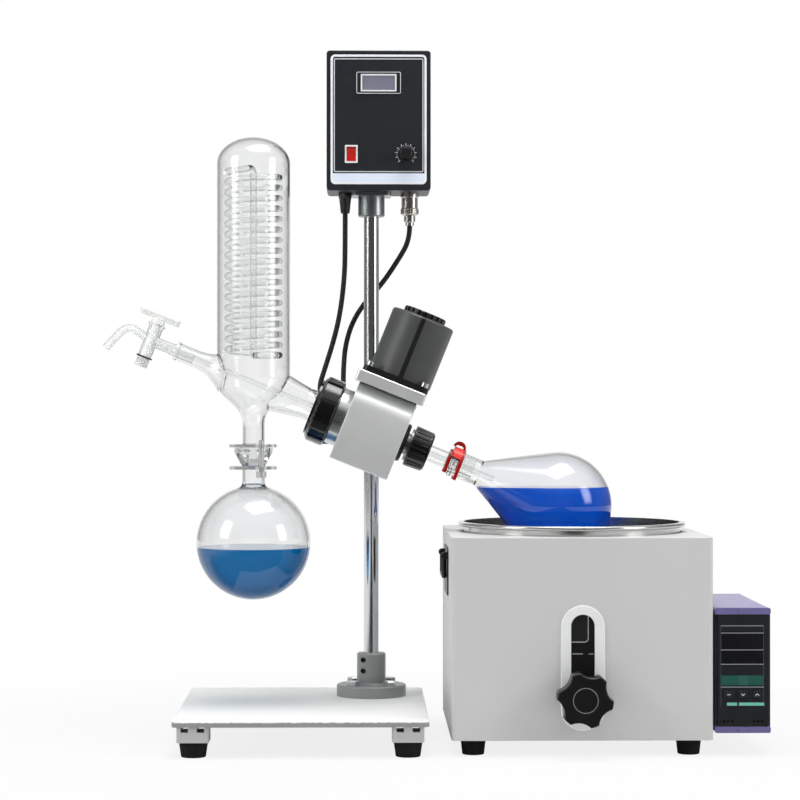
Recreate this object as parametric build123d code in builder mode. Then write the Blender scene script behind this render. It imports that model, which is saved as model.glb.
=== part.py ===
from build123d import *
import os
from math import cos, hypot, pi, radians, sin, tan

# Rotary evaporator on a round column, with a tilting drive head, glassware and a heated lifting bath.
# +X is the viewer's right, +Y away from the viewer, +Z up, in millimetres.

# Main datums
column_x = -62.0
column_y = 94.0
column_dia = 18.0
spindle_reach = 90.0          # spindle plane in front of the column axis
spindle_side = 1.5            # tilt pivot to the right of the column axis
pivot_height = 354.7
spindle_tilt = 22.0           # spindle below the horizontal, towards the flask
bath_x = 167.5
slide_fit = 0.05              # radial clearance of a running fit
seat_gap = 0.3                # clearance between separate curved pieces

# Stand
base_width = 280.0
base_depth = 325.0
base_thick = 6.0
base_corner = 8.0
base_left_of_column = 78.0
base_before_column = 82.5
foot_span_x = 234.0
foot_span_y = 285.0
foot_height = 17.0
foot_top_dia = 32.0
foot_bottom_dia = 27.0
block_size = 35.0
block_height = 17.0
block_window = 8.0
flange_dia = 82.0
flange_thick = 13.5
hub_dia = 34.0
hub_height = 37.0
bolt_dia = 8.0
bolt_head_flats = 13.0
bolt_head_height = 5.5
bolt_circle = 60.0
grub_dia = 6.0

# Control box
box_width = 122.0
box_height = 164.0
box_depth = 80.0
box_bottom = 635.0
box_right_of_column = 8.3
box_wall = 2.5
box_corner = 4.0
panel_thick = 3.0
socket_dia = 31.5
socket_height = 28.0
socket_flange = 46.0
socket_flange_thick = 4.0
display_width = 41.0
display_height = 20.0
display_rim = 5.5
display_below_top = 38.0
control_row = 42.5            # rocker and knob centres above the box floor
control_spread = 32.0         # rocker and knob centres from the box middle
switch_width = 15.0
switch_height = 21.0
switch_rim = 1.0
switch_depth = 14.0
rocker_width = 10.8
rocker_height = 15.4
rocker_angle = 10.0
dial_dia = 15.0
dial_length = 15.0
dial_shaft_dia = 6.0
gland_left = 39.4             # cable gland from the box middle
gland_dia = 15.5
gland_length = 24.0
connector_right = 37.2        # round connector from the box middle
connector_dia = 22.0
connector_length = 38.0
connector_back = 6.0          # connector and its lead behind the column axis
lead_dia = 6.0

# Drive head
housing_length = 70.0
housing_height = 93.0
housing_depth = 84.0
housing_wall = 6.0
housing_round = 24.0          # upper front edge
gear_room = 72.4
pinion_room = 30.0
end_wall = 13.0
bearing_bore = 25.0
bearing_outside = 42.0
bearing_width = 9.0
pivot_dia = 20.0
pivot_length = 33.0
motor_side = 6.0              # motor axis towards the flask
plate_length = 83.0
plate_thick = 13.5
motor_flange_size = 79.0
motor_flange_thick = 7.0
motor_dia = 74.3
motor_length = 74.0
motor_wall = 4.0
motor_cap_dia = 50.0
motor_cap_height = 7.0
motor_shaft_dia = 8.0
armature_dia = 48.0
gear_teeth = 32
pinion_teeth = 12
gear_module = 2.0
gear_face = 9.0
gear_backlash = 0.45
collar_dia = 67.0
collar_length = 13.0
spigot_dia = 54.0
spigot_length = 12.0
seal_dia = 40.0
seal_width = 6.0
cap_dia = 45.0
cap_thick = 5.0
cap_screw_dia = 5.0
spindle_nose_dia = 38.0
spindle_nose_start = 43.0
spindle_nose_end = 61.0
flask_nut_dia = 48.0
flask_nut_start = 45.5
flask_nut_end = 69.0
union_nut_dia = 78.0
union_nut_start = -74.0
union_nut_end = -48.3
union_nut_lobes = 10

# Glass
glass_wall = 2.4
condenser_along = -148.0      # condenser axis on the spindle axis
condenser_dia = 84.0
condenser_top = 691.0
dome_height = 30.0
body_bottom = 415.0
drip_neck_dia = 25.0
drip_neck_top = 360.0
arm_dia = 36.0
arm_root_dia = 45.0
arm_flange_dia = 50.0
arm_flange_thick = 4.8
coil_tube_dia = 7.5
coil_outside = 67.0
coil_pitch = 12.0
coil_turns = 17
coil_bottom = 441.0
coil_stub = 62.0
hose_stub_dia = 9.0
vacuum_stub_dia = 10.0
vacuum_stub_height = 600.0
hose_stub_length = 26.0
ball_dia = 35.0
ball_height = 327.0
cup_dia = 44.0
cup_top = 334.5
cup_bottom = 316.0
receiver_neck_dia = 25.8
receiver_dia = 130.6
receiver_height = 225.9
stopcock_along = -275.0
barrel_dia = 17.0
barrel_length = 40.0
key_dia = 10.8
key_bar = 48.0
spout_dia = 9.0
spout_bore = 5.0
feed_port_dia = 20.0
feed_port_end = -244.0
feed_tube_dia = 6.0
feed_tube_end = 150.0
feed_arm_dia = 12.6
vapour_tube_dia = 19.0
vapour_tube_start = -62.0
joint_start = 97.0
joint_end = 124.0
joint_large_dia = 24.4
joint_small_dia = 21.8
flask_neck_dia = 30.0
flask_dia = 122.0
flask_along = 230.0
flask_cone = 29.0             # half angle of the pear, degrees
clip_width = 4.0
clip_wall = 2.6
clip_loop_dia = 15.0
clip_loop_thick = 4.0

# Receiver clamp
fork_width = 53.6
fork_depth = 46.0
fork_thick = 3.5
fork_post_dia = 6.0

# Column clamp
bush_dia = 26.0
clamp_dia = 42.0
clamp_bottom = 312.0
clamp_height = 85.0
boss_dia = 38.0
lead_box_left = 67.0          # outer end of the lead box from the column axis
lead_box_depth = 26.0
lead_box_bottom = 338.0
lead_box_height = 26.0
boot_dia = 16.0
boot_height = 5.0
left_boot = 56.0              # lead entries from the column axis
right_boot = 30.5
lever_screw_dia = 8.0
lever_hub_dia = 16.0
lever_hub_length = 16.0
lever_arm = 34.0
lever_tip_dia = 9.0
height_lever_height = 328.0

# Heating bath
bath_size = 286.0
bath_height = 221.5
bath_foot_height = 17.5
bath_foot_dia = 28.0
bath_foot_span = 237.2
bath_wall = 2.0
bath_corner = 6.0
pot_dia = 250.0
pot_wall = 1.5
pot_depth = 135.0
pot_rim_dia = 5.0
pot_rim_out = 3.0             # rolled edge beyond the pot wall
pot_top = 250.0
pot_gap = 1.5
pot_corner = 14.0
slot_width = 26.0
slot_height = 117.0
slot_bottom = 38.0
trim_width = 48.0
trim_height = 137.0
trim_thick = 2.0
carrier_width = 62.0
carrier_bottom = 24.0
carrier_top = 176.0
carrier_thick = 3.0
stud_dia = 10.0
knob_height = 65.0
knob_tip_radius = 30.5
knob_valley_radius = 25.0
knob_lobes = 6
knob_thick = 22.0
knob_neck_dia = 28.0
knob_neck_length = 10.7
knob_disc_dia = 28.0
heater_dia = 200.0
heater_thick = 12.0
handle_length = 95.0
handle_height = 54.0
handle_thick = 1.5
handle_middle = 195.0
handle_pivot_height = 213.0
handle_reach = 4.5            # bail pivot out from the bath wall
bail_span = 66.0
bail_drop = 24.0
bail_dia = 5.5
bail_pin_dia = 4.0
ear_wall = 1.2

# Bath controller
controller_width = 61.0
controller_height = 136.6
controller_bottom = 25.0
controller_front = 140.0      # face in front of the bath middle
controller_depth = 205.0
controller_gap = 2.0
face_thick = 4.0
face_border = 3.0
cap_band = 7.0
cap_tab = 10.0
vent_dia = 3.2
vent_pitch = 4.4
vent_spread = 33.0
key_width = 11.0
key_height = 8.0
key_spread = 15.5
key_row = 67.0
key_proud = 0.8
key_clear = 0.2

# Derived datums
column_at = Vector(column_x, column_y, 0)
pivot = Vector(column_x + spindle_side, column_y - spindle_reach, pivot_height)
bath_y = pivot.Y
base_top = foot_height + block_height + base_thick
base_x = column_x - base_left_of_column
base_y = column_y - base_before_column
box_x = column_x + box_right_of_column
box_front = column_y - box_depth / 2
along = Vector(cos(radians(spindle_tilt)), 0, -sin(radians(spindle_tilt)))
across = Vector(sin(radians(spindle_tilt)), 0, cos(radians(spindle_tilt)))
spindle_axis = Axis(pivot, along)
spindle_plane = Plane(origin=pivot, x_dir=along, z_dir=(0, -1, 0))
half_length = housing_length / 2
half_height = housing_height / 2
bath_front = bath_y - bath_size / 2
bath_top_z = bath_foot_height + bath_height


def head_point(u, w, v=0.0):
    """A point of the head: u along the spindle, w towards the motor, v to the back."""
    return pivot + along * u + across * w + Vector(0, v, 0)


def ring_plane(u):
    """Plane square to the spindle at u, facing the flask."""
    return Plane(origin=head_point(u, 0), x_dir=(0, 1, 0), z_dir=along)


def deck_plane(w, u=0.0):
    """Plane square to the motor axis at w, facing the motor."""
    return Plane(origin=head_point(u, w), x_dir=along, z_dir=across)


def front_plane(y, x=0.0, z=0.0):
    """Upright plane that faces the viewer."""
    return Plane(origin=(x, y, z), x_dir=(1, 0, 0), z_dir=(0, -1, 0))


def back_plane(y, x=0.0, z=0.0):
    """Upright plane that faces away from the viewer."""
    return Plane(origin=(x, y, z), x_dir=(-1, 0, 0), z_dir=(0, 1, 0))


def right_plane(x, y=0.0, z=0.0):
    """Upright plane that faces the viewer's right."""
    return Plane(origin=(x, y, z), x_dir=(0, 1, 0), z_dir=(1, 0, 0))


def outline(plane, *points):
    """Closed straight-sided face."""
    with BuildSketch(plane) as face:
        with BuildLine():
            Polyline(*points, close=True)
        make_face()
    return face.sketch


def disc(plane, dia, bore=0.0):
    """Round face, with a hole if a bore is given."""
    with BuildSketch(plane) as face:
        Circle(dia / 2)
        if bore:
            Circle(bore / 2, mode=Mode.SUBTRACT)
    return face.sketch


# Base plate with its flange bolt holes
with BuildPart() as base_plate:
    with BuildSketch(Plane((base_x, base_y, base_top - base_thick))):
        RectangleRounded(base_width, base_depth, base_corner)
    extrude(amount=base_thick)
    fillet(base_plate.faces().sort_by(Axis.Z)[-1].outer_wire().edges(), 1.0)
    with BuildSketch(Plane((column_x, column_y, base_top))):
        with PolarLocations(bolt_circle / 2, 4, start_angle=45):
            Circle(bolt_dia / 2 + slide_fit)
    extrude(amount=-base_thick, mode=Mode.SUBTRACT)

# Spacer blocks under the plate, windowed either side of the middle post
with BuildPart() as foot_blocks:
    with Locations(Plane((base_x, base_y, foot_height))):
        with GridLocations(foot_span_x, foot_span_y, 2, 2):
            Box(block_size, block_size, block_height, align=(Align.CENTER, Align.CENTER, Align.MIN))
    with Locations(Plane((base_x, base_y, foot_height + block_height))):
        with GridLocations(foot_span_x, foot_span_y, 2, 2):
            with GridLocations(block_size / 2, 0, 2, 1):
                Box(
                    block_window, block_size, block_height / 3,
                    align=(Align.CENTER, Align.CENTER, Align.MAX), mode=Mode.SUBTRACT,
                )
    chamfer(foot_blocks.edges().filter_by(Axis.Z).group_by(SortBy.LENGTH)[-1], 1.5)

# Tapered rubber feet
with BuildPart() as base_feet:
    with Locations(Plane((base_x, base_y, 0))):
        with GridLocations(foot_span_x, foot_span_y, 2, 2):
            Cone(
                foot_bottom_dia / 2, foot_top_dia / 2, foot_height,
                align=(Align.CENTER, Align.CENTER, Align.MIN),
            )
    fillet(base_feet.faces().filter_by(Plane.XY).group_by(Axis.Z)[0].edges(), 1.0)

# Cast column flange with its clamping hub
hub_top = base_top + flange_thick + hub_height
with BuildPart() as column_flange:
    with BuildSketch(Plane((column_x, column_y, base_top))):
        Circle(flange_dia / 2)
    extrude(amount=flange_thick)
    fillet(column_flange.faces().sort_by(Axis.Z)[-1].edges(), 2.0)
    with BuildSketch(Plane((column_x, column_y, base_top + flange_thick))):
        Circle(hub_dia / 2)
    extrude(amount=hub_height)
    fillet(
        column_flange.edges().filter_by(GeomType.CIRCLE).filter_by(
            lambda e: abs(e.radius - hub_dia / 2) < 0.01 and e.center().Z < hub_top - 1
        ),
        3.0,
    )
    chamfer(column_flange.faces().sort_by(Axis.Z)[-1].edges(), 1.5)
    with BuildSketch(Plane((column_x, column_y, base_top))):
        Circle(column_dia / 2 + slide_fit)
        with PolarLocations(bolt_circle / 2, 4, start_angle=45):
            Circle(bolt_dia / 2 + slide_fit)
    extrude(amount=flange_thick + hub_height, mode=Mode.SUBTRACT)
    for drop in (0.2, 0.55):
        grub_plane = Plane(
            origin=(column_x, column_y, hub_top - hub_height * drop), x_dir=(0, 0, 1),
            z_dir=(-sin(radians(34)), -cos(radians(34)), 0),
        )
        extrude(disc(grub_plane, grub_dia), amount=hub_dia, mode=Mode.SUBTRACT)

# Hex bolts that hold the flange
with BuildPart() as flange_bolts:
    with BuildSketch(Plane((column_x, column_y, base_top + flange_thick))):
        with PolarLocations(bolt_circle / 2, 4, start_angle=45):
            RegularPolygon(bolt_head_flats / 2, 6, major_radius=False)
    extrude(amount=bolt_head_height)
    with BuildSketch(Plane((column_x, column_y, base_top + flange_thick))):
        with PolarLocations(bolt_circle / 2, 4, start_angle=45):
            Circle(bolt_dia / 2)
    extrude(amount=-(flange_thick + base_thick))
    chamfer(flange_bolts.faces().filter_by(Plane.XY).group_by(Axis.Z)[-1].edges(), 0.8)

# Polished column, from the base plate to the socket under the control box
column_top = box_bottom - socket_flange_thick
with BuildPart() as column:
    with BuildSketch(Plane((column_x, column_y, base_top))):
        Circle(column_dia / 2)
    extrude(amount=column_top - base_top)
    chamfer(column.faces().sort_by(Axis.Z)[-1].edges(), 1.0)

# Socket that carries the control box on the column
with BuildPart() as box_socket:
    with BuildSketch(Plane((column_x, column_y, box_bottom))):
        RectangleRounded(socket_flange, socket_flange, 5.0)
    extrude(amount=-socket_flange_thick)
    with BuildSketch(Plane((column_x, column_y, column_top))):
        Circle(socket_dia / 2)
    extrude(amount=-(socket_height - socket_flange_thick))
    chamfer(box_socket.faces().sort_by(Axis.Z)[0].edges(), 1.2)
    with BuildSketch(Plane((column_x, column_y, column_top))):
        Circle(column_dia / 2 + slide_fit)
    extrude(amount=-socket_height, mode=Mode.SUBTRACT)

# Control box shell, open at the front
panel_back = box_front + panel_thick
box_middle = box_bottom + box_height / 2
with BuildPart() as control_box:
    with BuildSketch(front_plane(panel_back, box_x, box_middle)):
        RectangleRounded(box_width, box_height, box_corner)
    extrude(amount=-(box_depth - panel_thick))
    fillet(control_box.faces().sort_by(Axis.Y)[-1].edges(), 2.0)
    with BuildSketch(front_plane(panel_back, box_x, box_middle)):
        Rectangle(box_width - 2 * box_wall, box_height - 2 * box_wall)
    extrude(amount=-(box_depth - panel_thick - box_wall), mode=Mode.SUBTRACT)
    with BuildSketch(Plane((box_x, column_y, box_bottom))):
        with Locations((-gland_left, 0)):
            Circle(gland_dia / 3)
        with Locations((connector_right, connector_back)):
            Circle(connector_dia / 3)
    extrude(amount=box_wall, mode=Mode.SUBTRACT)

# Front panel with openings for display, switch and speed knob
row_z = box_bottom + control_row
display_z = box_bottom + box_height - display_below_top
with BuildPart() as control_panel:
    with BuildSketch(front_plane(panel_back, box_x, box_middle)):
        RectangleRounded(box_width, box_height, box_corner)
    extrude(amount=panel_thick)
    chamfer(control_panel.faces().sort_by(Axis.Y)[0].edges(), 0.8)
    with BuildSketch(front_plane(box_front, box_x, box_bottom)):
        with Locations((0, box_height - display_below_top)):
            Rectangle(display_width, display_height)
        with Locations((-control_spread, control_row)):
            Rectangle(switch_width - 2 * switch_rim, switch_height - 2 * switch_rim)
        with Locations((control_spread, control_row)):
            Circle(dial_shaft_dia / 2 + slide_fit)
    extrude(amount=-panel_thick, mode=Mode.SUBTRACT)

# Speed display with its rim
with BuildPart() as speed_display:
    with BuildSketch(front_plane(box_front, box_x, display_z)):
        RectangleRounded(display_width + 2 * display_rim, display_height + display_rim, 1.5)
    extrude(amount=1.2)
    with BuildSketch(front_plane(box_front, box_x, display_z)):
        Rectangle(display_width - 0.2, display_height - 0.2)
    extrude(amount=-(panel_thick + 9.0))
    with BuildSketch(front_plane(box_front - 1.2, box_x, display_z)):
        Rectangle(display_width - 3.0, display_height - 3.0)
    extrude(amount=-0.7, mode=Mode.SUBTRACT)

# Rocker switch body
switch_x = box_x - control_spread
rocker_y = box_front + 1.0
frame_front = box_front - 1.6
pin_dia = 2.4
with BuildPart() as switch_frame:
    with BuildSketch(front_plane(box_front, switch_x, row_z)):
        RectangleRounded(switch_width, switch_height, 1.0)
    extrude(amount=box_front - frame_front)
    with BuildSketch(front_plane(box_front, switch_x, row_z)):
        Rectangle(switch_width - 2 * switch_rim - 0.1, switch_height - 2 * switch_rim - 0.1)
    extrude(amount=-switch_depth)
    with BuildSketch(front_plane(frame_front, switch_x, row_z)):
        Rectangle(rocker_width + 0.4, rocker_height + 1.6)
    extrude(amount=-(switch_depth + frame_front - box_front + 1.6 - 2.0), mode=Mode.SUBTRACT)
    extrude(
        disc(right_plane(switch_x, rocker_y, row_z), pin_dia + 2 * slide_fit),
        amount=switch_width / 2 - switch_rim - 0.2, both=True, mode=Mode.SUBTRACT,
    )

# Rocker, tipped to its off side, with its pivot stubs
rocker_plane = Plane(
    origin=(switch_x, rocker_y, row_z),
    x_dir=(0, -cos(radians(rocker_angle)), -sin(radians(rocker_angle))), z_dir=(1, 0, 0),
)
with BuildPart() as power_rocker:
    half = rocker_height / 2
    extrude(
        outline(
            rocker_plane, (-3.5, -half + 1), (4.0, -half), (2.4, 0), (4.0, half), (-3.5, half - 1)
        ),
        amount=rocker_width / 2, both=True,
    )
    fillet(power_rocker.faces().group_by(Axis.X)[-1].edges(), 0.5)
    fillet(power_rocker.faces().group_by(Axis.X)[0].edges(), 0.5)
    extrude(disc(rocker_plane, pin_dia), amount=rocker_width / 2 + 0.7, both=True)

# Speed knob with its shaft
dial_x = box_x + control_spread
with BuildPart() as speed_knob:
    with BuildSketch(front_plane(box_front - seat_gap, dial_x, row_z)):
        Circle(dial_dia / 2)
    extrude(amount=dial_length, taper=3)
    fillet(speed_knob.faces().sort_by(Axis.Y)[0].edges(), 1.0)
    with BuildSketch(front_plane(box_front - seat_gap - dial_length / 3, dial_x, row_z)):
        with PolarLocations(dial_dia / 2, 24):
            Circle(0.55)
    extrude(amount=dial_length / 2, mode=Mode.SUBTRACT)
    with BuildSketch(front_plane(box_front - seat_gap, dial_x, row_z)):
        Circle(dial_shaft_dia / 2)
    extrude(amount=-(panel_thick + 12.0))

# Cable gland in the box floor
gland_x = box_x - gland_left
gland_axis = Axis((gland_x, column_y, 0), (0, 0, 1))
gland_bottom = box_bottom - gland_length
with BuildPart() as cable_gland:
    with BuildSketch(Plane((gland_x, column_y, box_bottom))):
        RegularPolygon(gland_dia / 2, 6, major_radius=False, rotation=30)
    extrude(amount=-gland_length / 4)
    with BuildSketch(Plane((gland_x, column_y, box_bottom - gland_length / 4))):
        Circle(gland_dia / 2 - 0.6)
    extrude(amount=-gland_length * 3 / 4, taper=6)
    fillet(cable_gland.faces().sort_by(Axis.Z)[0].edges(), 1.5)
    with BuildSketch(Plane((gland_x, column_y, box_bottom))):
        Circle(gland_dia / 3 - slide_fit)
    extrude(amount=box_wall + 6.0)

# Round metal connector, stepped down to its cable clamp
connector_x = box_x + connector_right
connector_y = column_y + connector_back
connector_bottom = box_bottom - connector_length
connector_plane = front_plane(connector_y, connector_x, box_bottom)
with BuildPart() as lead_connector:
    radius = connector_dia / 2
    revolve(
        outline(
            connector_plane,
            (0, box_wall + 6), (radius * 2 / 3 - slide_fit, box_wall + 6),
            (radius * 2 / 3 - slide_fit, 0), (radius, 0), (radius, -4), (radius - 1.2, -5),
            (radius - 1.2, -17), (radius - 0.2, -18), (radius - 0.2, -24), (radius - 2.0, -25.5),
            (radius - 4.2, -26.5), (radius - 4.2, -33), (radius - 6, -34.5),
            (radius - 6, -connector_length), (0, -connector_length),
        ),
        axis=Axis((connector_x, connector_y, 0), (0, 0, 1)),
    )
    with BuildSketch(Plane((connector_x, connector_y, box_bottom - 18))):
        with PolarLocations(connector_dia / 2 - 0.2, 30):
            Circle(0.5)
    extrude(amount=-6, mode=Mode.SUBTRACT)

# Bath case: four walls and floor, with the front slot
case_floor = bath_foot_height
slot_middle = slot_bottom + slot_height / 2
with BuildPart() as bath_case:
    with BuildSketch(Plane((bath_x, bath_y, case_floor))):
        RectangleRounded(bath_size, bath_size, bath_corner)
    extrude(amount=bath_height - bath_wall)
    with BuildSketch(Plane((bath_x, bath_y, case_floor + bath_wall))):
        RectangleRounded(bath_size - 2 * bath_wall, bath_size - 2 * bath_wall, bath_corner - bath_wall)
    extrude(amount=bath_height, mode=Mode.SUBTRACT)
    with BuildSketch(front_plane(bath_front, bath_x, slot_middle)):
        SlotOverall(slot_height, slot_width, rotation=90)
    extrude(amount=-bath_wall, mode=Mode.SUBTRACT)

# Bath top, open round the pot
pot_opening = pot_dia + 2 * pot_gap
with BuildPart() as bath_top:
    with BuildSketch(Plane((bath_x, bath_y, bath_top_z - bath_wall))):
        RectangleRounded(bath_size, bath_size, bath_corner)
        Circle(pot_opening / 2, mode=Mode.SUBTRACT)
    extrude(amount=bath_wall)
    fillet(bath_top.faces().sort_by(Axis.Z)[-1].outer_wire().edges(), 1.2)

# Bath feet
with BuildPart() as bath_feet:
    with Locations(Plane((bath_x, bath_y, 0))):
        with GridLocations(bath_foot_span, bath_foot_span, 2, 2):
            Cone(
                bath_foot_dia / 2 - 2.0, bath_foot_dia / 2, bath_foot_height,
                align=(Align.CENTER, Align.CENTER, Align.MIN),
            )
    fillet(bath_feet.faces().filter_by(Plane.XY).group_by(Axis.Z)[0].edges(), 1.0)

# White trim round the slot
trim_front = bath_front - trim_thick
with BuildPart() as slot_trim:
    with BuildSketch(front_plane(bath_front, bath_x, slot_middle)):
        SlotOverall(trim_height, trim_width, rotation=90)
        SlotOverall(slot_height, slot_width, rotation=90, mode=Mode.SUBTRACT)
    extrude(amount=trim_thick)
    fillet(slot_trim.faces().sort_by(Axis.Y)[0].outer_wire().edges(), 1.2)

# Stainless pot with a rolled rim
pot_bottom = pot_top - pot_depth
pot_plane = front_plane(bath_y, bath_x, 0)
pot_axis = Axis((bath_x, bath_y, 0), (0, 0, 1))
pot_radius = pot_dia / 2
rim_z = pot_top - pot_rim_dia / 2
lip_z = pot_top - pot_wall
with BuildPart() as bath_pot:
    with BuildSketch(pot_plane):
        with BuildLine():
            Polyline(
                (0, pot_bottom), (pot_radius - pot_corner, pot_bottom),
            )
            RadiusArc(
                (pot_radius - pot_corner, pot_bottom), (pot_radius, pot_bottom + pot_corner), -pot_corner
            )
            Polyline(
                (pot_radius, pot_bottom + pot_corner), (pot_radius, lip_z),
                (pot_radius - pot_wall, lip_z), (pot_radius - pot_wall, pot_bottom + pot_corner),
            )
            RadiusArc(
                (pot_radius - pot_wall, pot_bottom + pot_corner),
                (pot_radius - pot_corner, pot_bottom + pot_wall), pot_corner - pot_wall,
            )
            Polyline(
                (pot_radius - pot_corner, pot_bottom + pot_wall), (0, pot_bottom + pot_wall), (0, pot_bottom)
            )
        make_face()
        with Locations((pot_radius + pot_rim_out, rim_z)):
            Circle(pot_rim_dia / 2)
        with Locations((pot_radius - pot_wall, pot_top)):
            Rectangle(pot_rim_out + pot_wall, pot_wall, align=(Align.MIN, Align.MAX))
    revolve(axis=pot_axis)

# Slide plate behind the slot, with its arm to the pot
carrier_front = bath_front + bath_wall + 0.4
carrier_middle = (carrier_bottom + carrier_top) / 2
with BuildPart() as pot_carrier:
    with BuildSketch(front_plane(carrier_front, bath_x, carrier_middle)):
        RectangleRounded(carrier_width, carrier_top - carrier_bottom, 4.0)
    extrude(amount=-carrier_thick)
    with BuildSketch(front_plane(carrier_front + carrier_thick, bath_x, carrier_top - 22)):
        Rectangle(carrier_width, 36)
    extrude(amount=-(bath_size / 2 - bath_wall - carrier_thick - pot_radius + 4))
    with BuildSketch(Plane((bath_x, bath_y, carrier_bottom))):
        Circle(pot_radius + 0.02)
    extrude(amount=carrier_top - carrier_bottom, mode=Mode.SUBTRACT)
    with BuildSketch(front_plane(carrier_front + carrier_thick, bath_x, knob_height)):
        Circle(stud_dia)
    extrude(amount=-8.0)
    extrude(
        disc(front_plane(carrier_front, bath_x, knob_height), stud_dia + 2 * slide_fit),
        amount=-(carrier_thick + 8.0), mode=Mode.SUBTRACT,
    )

# Heating plate under the pot
with BuildPart() as heater:
    with BuildSketch(Plane((bath_x, bath_y, pot_bottom))):
        Circle(heater_dia / 2)
    extrude(amount=-heater_thick)
    with BuildSketch(Plane((bath_x, bath_y, pot_bottom - heater_thick))):
        for ring_dia in (70.0, 120.0, 170.0):
            Circle(ring_dia / 2)
            Circle(ring_dia / 2 - 8.0, mode=Mode.SUBTRACT)
    extrude(amount=4.0, mode=Mode.SUBTRACT)

# Star knob with its clamping stud
knob_back = trim_front - seat_gap
with BuildPart() as bath_knob:
    with BuildSketch(front_plane(knob_back, bath_x, knob_height)):
        Circle(knob_neck_dia / 2)
    extrude(amount=knob_neck_length)
    with BuildSketch(front_plane(knob_back - knob_neck_length, bath_x, knob_height)):
        Circle(knob_tip_radius)
        with PolarLocations(knob_tip_radius + 14.0, knob_lobes, start_angle=20):
            Circle(knob_tip_radius + 14.0 - knob_valley_radius, mode=Mode.SUBTRACT)
    extrude(amount=knob_thick)
    fillet(bath_knob.faces().sort_by(Axis.Y)[0].edges(), 2.0)
    with BuildSketch(front_plane(knob_back - knob_neck_length - knob_thick, bath_x, knob_height)):
        Circle(knob_disc_dia / 2)
        Circle(knob_disc_dia / 2 - 1.2, mode=Mode.SUBTRACT)
    extrude(amount=-0.8, mode=Mode.SUBTRACT)
    with BuildSketch(front_plane(knob_back, bath_x, knob_height)):
        Circle(stud_dia / 2)
    extrude(amount=-(carrier_front + carrier_thick + 7.0 - knob_back))

# Handle plate on the bath's left wall, with the ears of the bail
bath_left = bath_x - bath_size / 2
ear_x = bath_left - handle_reach
ear_thick = 6.0
with BuildPart() as handle_plate:
    with BuildSketch(right_plane(bath_left, bath_y, handle_middle)):
        RectangleRounded(handle_length, handle_height, 6.0)
    extrude(amount=-handle_thick)
    with BuildSketch(Plane(origin=(ear_x, bath_y, handle_pivot_height), x_dir=(1, 0, 0), z_dir=(0, 1, 0))):
        Circle(bail_dia / 2 + ear_wall)
        with Locations((handle_reach / 2 - handle_thick / 2, 0)):
            Rectangle(handle_reach - handle_thick, bail_dia + 2 * ear_wall)
    extrude(amount=bail_span / 2 + ear_thick + 0.4, both=True)
    with BuildSketch(Plane(origin=(ear_x, bath_y, handle_pivot_height), x_dir=(1, 0, 0), z_dir=(0, 1, 0))):
        with Locations((-handle_reach / 2, 0)):
            Rectangle(3 * handle_reach - 2 * handle_thick, bail_dia + 8.0)
    extrude(amount=bail_span / 2 + 0.4, both=True, mode=Mode.SUBTRACT)
    with BuildSketch(Plane(origin=(ear_x, bath_y, handle_pivot_height), x_dir=(1, 0, 0), z_dir=(0, 1, 0))):
        Circle(bail_pin_dia / 2 + slide_fit)
    extrude(amount=handle_length / 2, both=True, mode=Mode.SUBTRACT)

# Folding bail of the handle
with BuildPart() as handle_bail:
    arm_y = bail_span / 2 - bail_dia / 2
    with BuildLine() as bail_path:
        FilletPolyline(
            (ear_x, bath_y - arm_y, handle_pivot_height),
            (ear_x, bath_y - arm_y, handle_pivot_height - bail_drop),
            (ear_x, bath_y + arm_y, handle_pivot_height - bail_drop),
            (ear_x, bath_y + arm_y, handle_pivot_height),
            radius=bail_dia,
        )
    with BuildSketch(Plane(origin=bail_path.line @ 0, z_dir=bail_path.line % 0)):
        Circle(bail_dia / 2)
    sweep()
    with BuildSketch(Plane(origin=(ear_x, bath_y, handle_pivot_height), z_dir=(0, 1, 0))):
        Circle(bail_dia / 2)
    extrude(amount=bail_span / 2, both=True)
    with BuildSketch(Plane(origin=(ear_x, bath_y, handle_pivot_height), z_dir=(0, 1, 0))):
        Circle(bail_dia / 2 + 1.0)
    extrude(amount=bail_span / 2 - bail_dia, both=True, mode=Mode.SUBTRACT)
    with BuildSketch(Plane(origin=(ear_x, bath_y, handle_pivot_height), z_dir=(0, 1, 0))):
        Circle(bail_pin_dia / 2)
    extrude(amount=bail_span / 2 + ear_thick, both=True)
    with BuildSketch(Plane(origin=(ear_x, bath_y, handle_pivot_height), z_dir=(0, 1, 0))):
        Circle(bail_dia)
    extrude(amount=bail_span / 2 - bail_dia, both=True, mode=Mode.SUBTRACT)

# Bracket between the bath and its controller
bath_right = bath_x + bath_size / 2
controller_left = bath_right + controller_gap
face_front = bath_y - controller_front
controller_middle = controller_bottom + controller_height / 2
with BuildPart() as controller_bracket:
    with BuildSketch(right_plane(bath_right, face_front + controller_depth / 2, controller_middle)):
        RectangleRounded(controller_depth * 0.6, controller_height * 0.6, 6.0)
    extrude(amount=controller_gap)

# Controller case with bevelled end bands
controller_x = controller_left + controller_width / 2
case_front = face_front + face_thick
with BuildPart() as controller_case:
    with BuildSketch(front_plane(case_front, controller_x, controller_middle)):
        RectangleRounded(controller_width, controller_height, 3.0)
    extrude(amount=-(controller_depth - face_thick))
    fillet(controller_case.faces().sort_by(Axis.Y)[-1].edges(), 2.0)
    for side in (1, -1):
        band_z = controller_middle + side * (controller_height - cap_band) / 2
        with BuildSketch(front_plane(case_front, controller_x, band_z)):
            RectangleRounded(controller_width, cap_band, 2.0)
        extrude(amount=face_thick)
        with BuildSketch(front_plane(face_front, controller_x, band_z)):
            Rectangle(cap_tab, cap_band - 1.0)
        extrude(amount=1.0)

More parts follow.
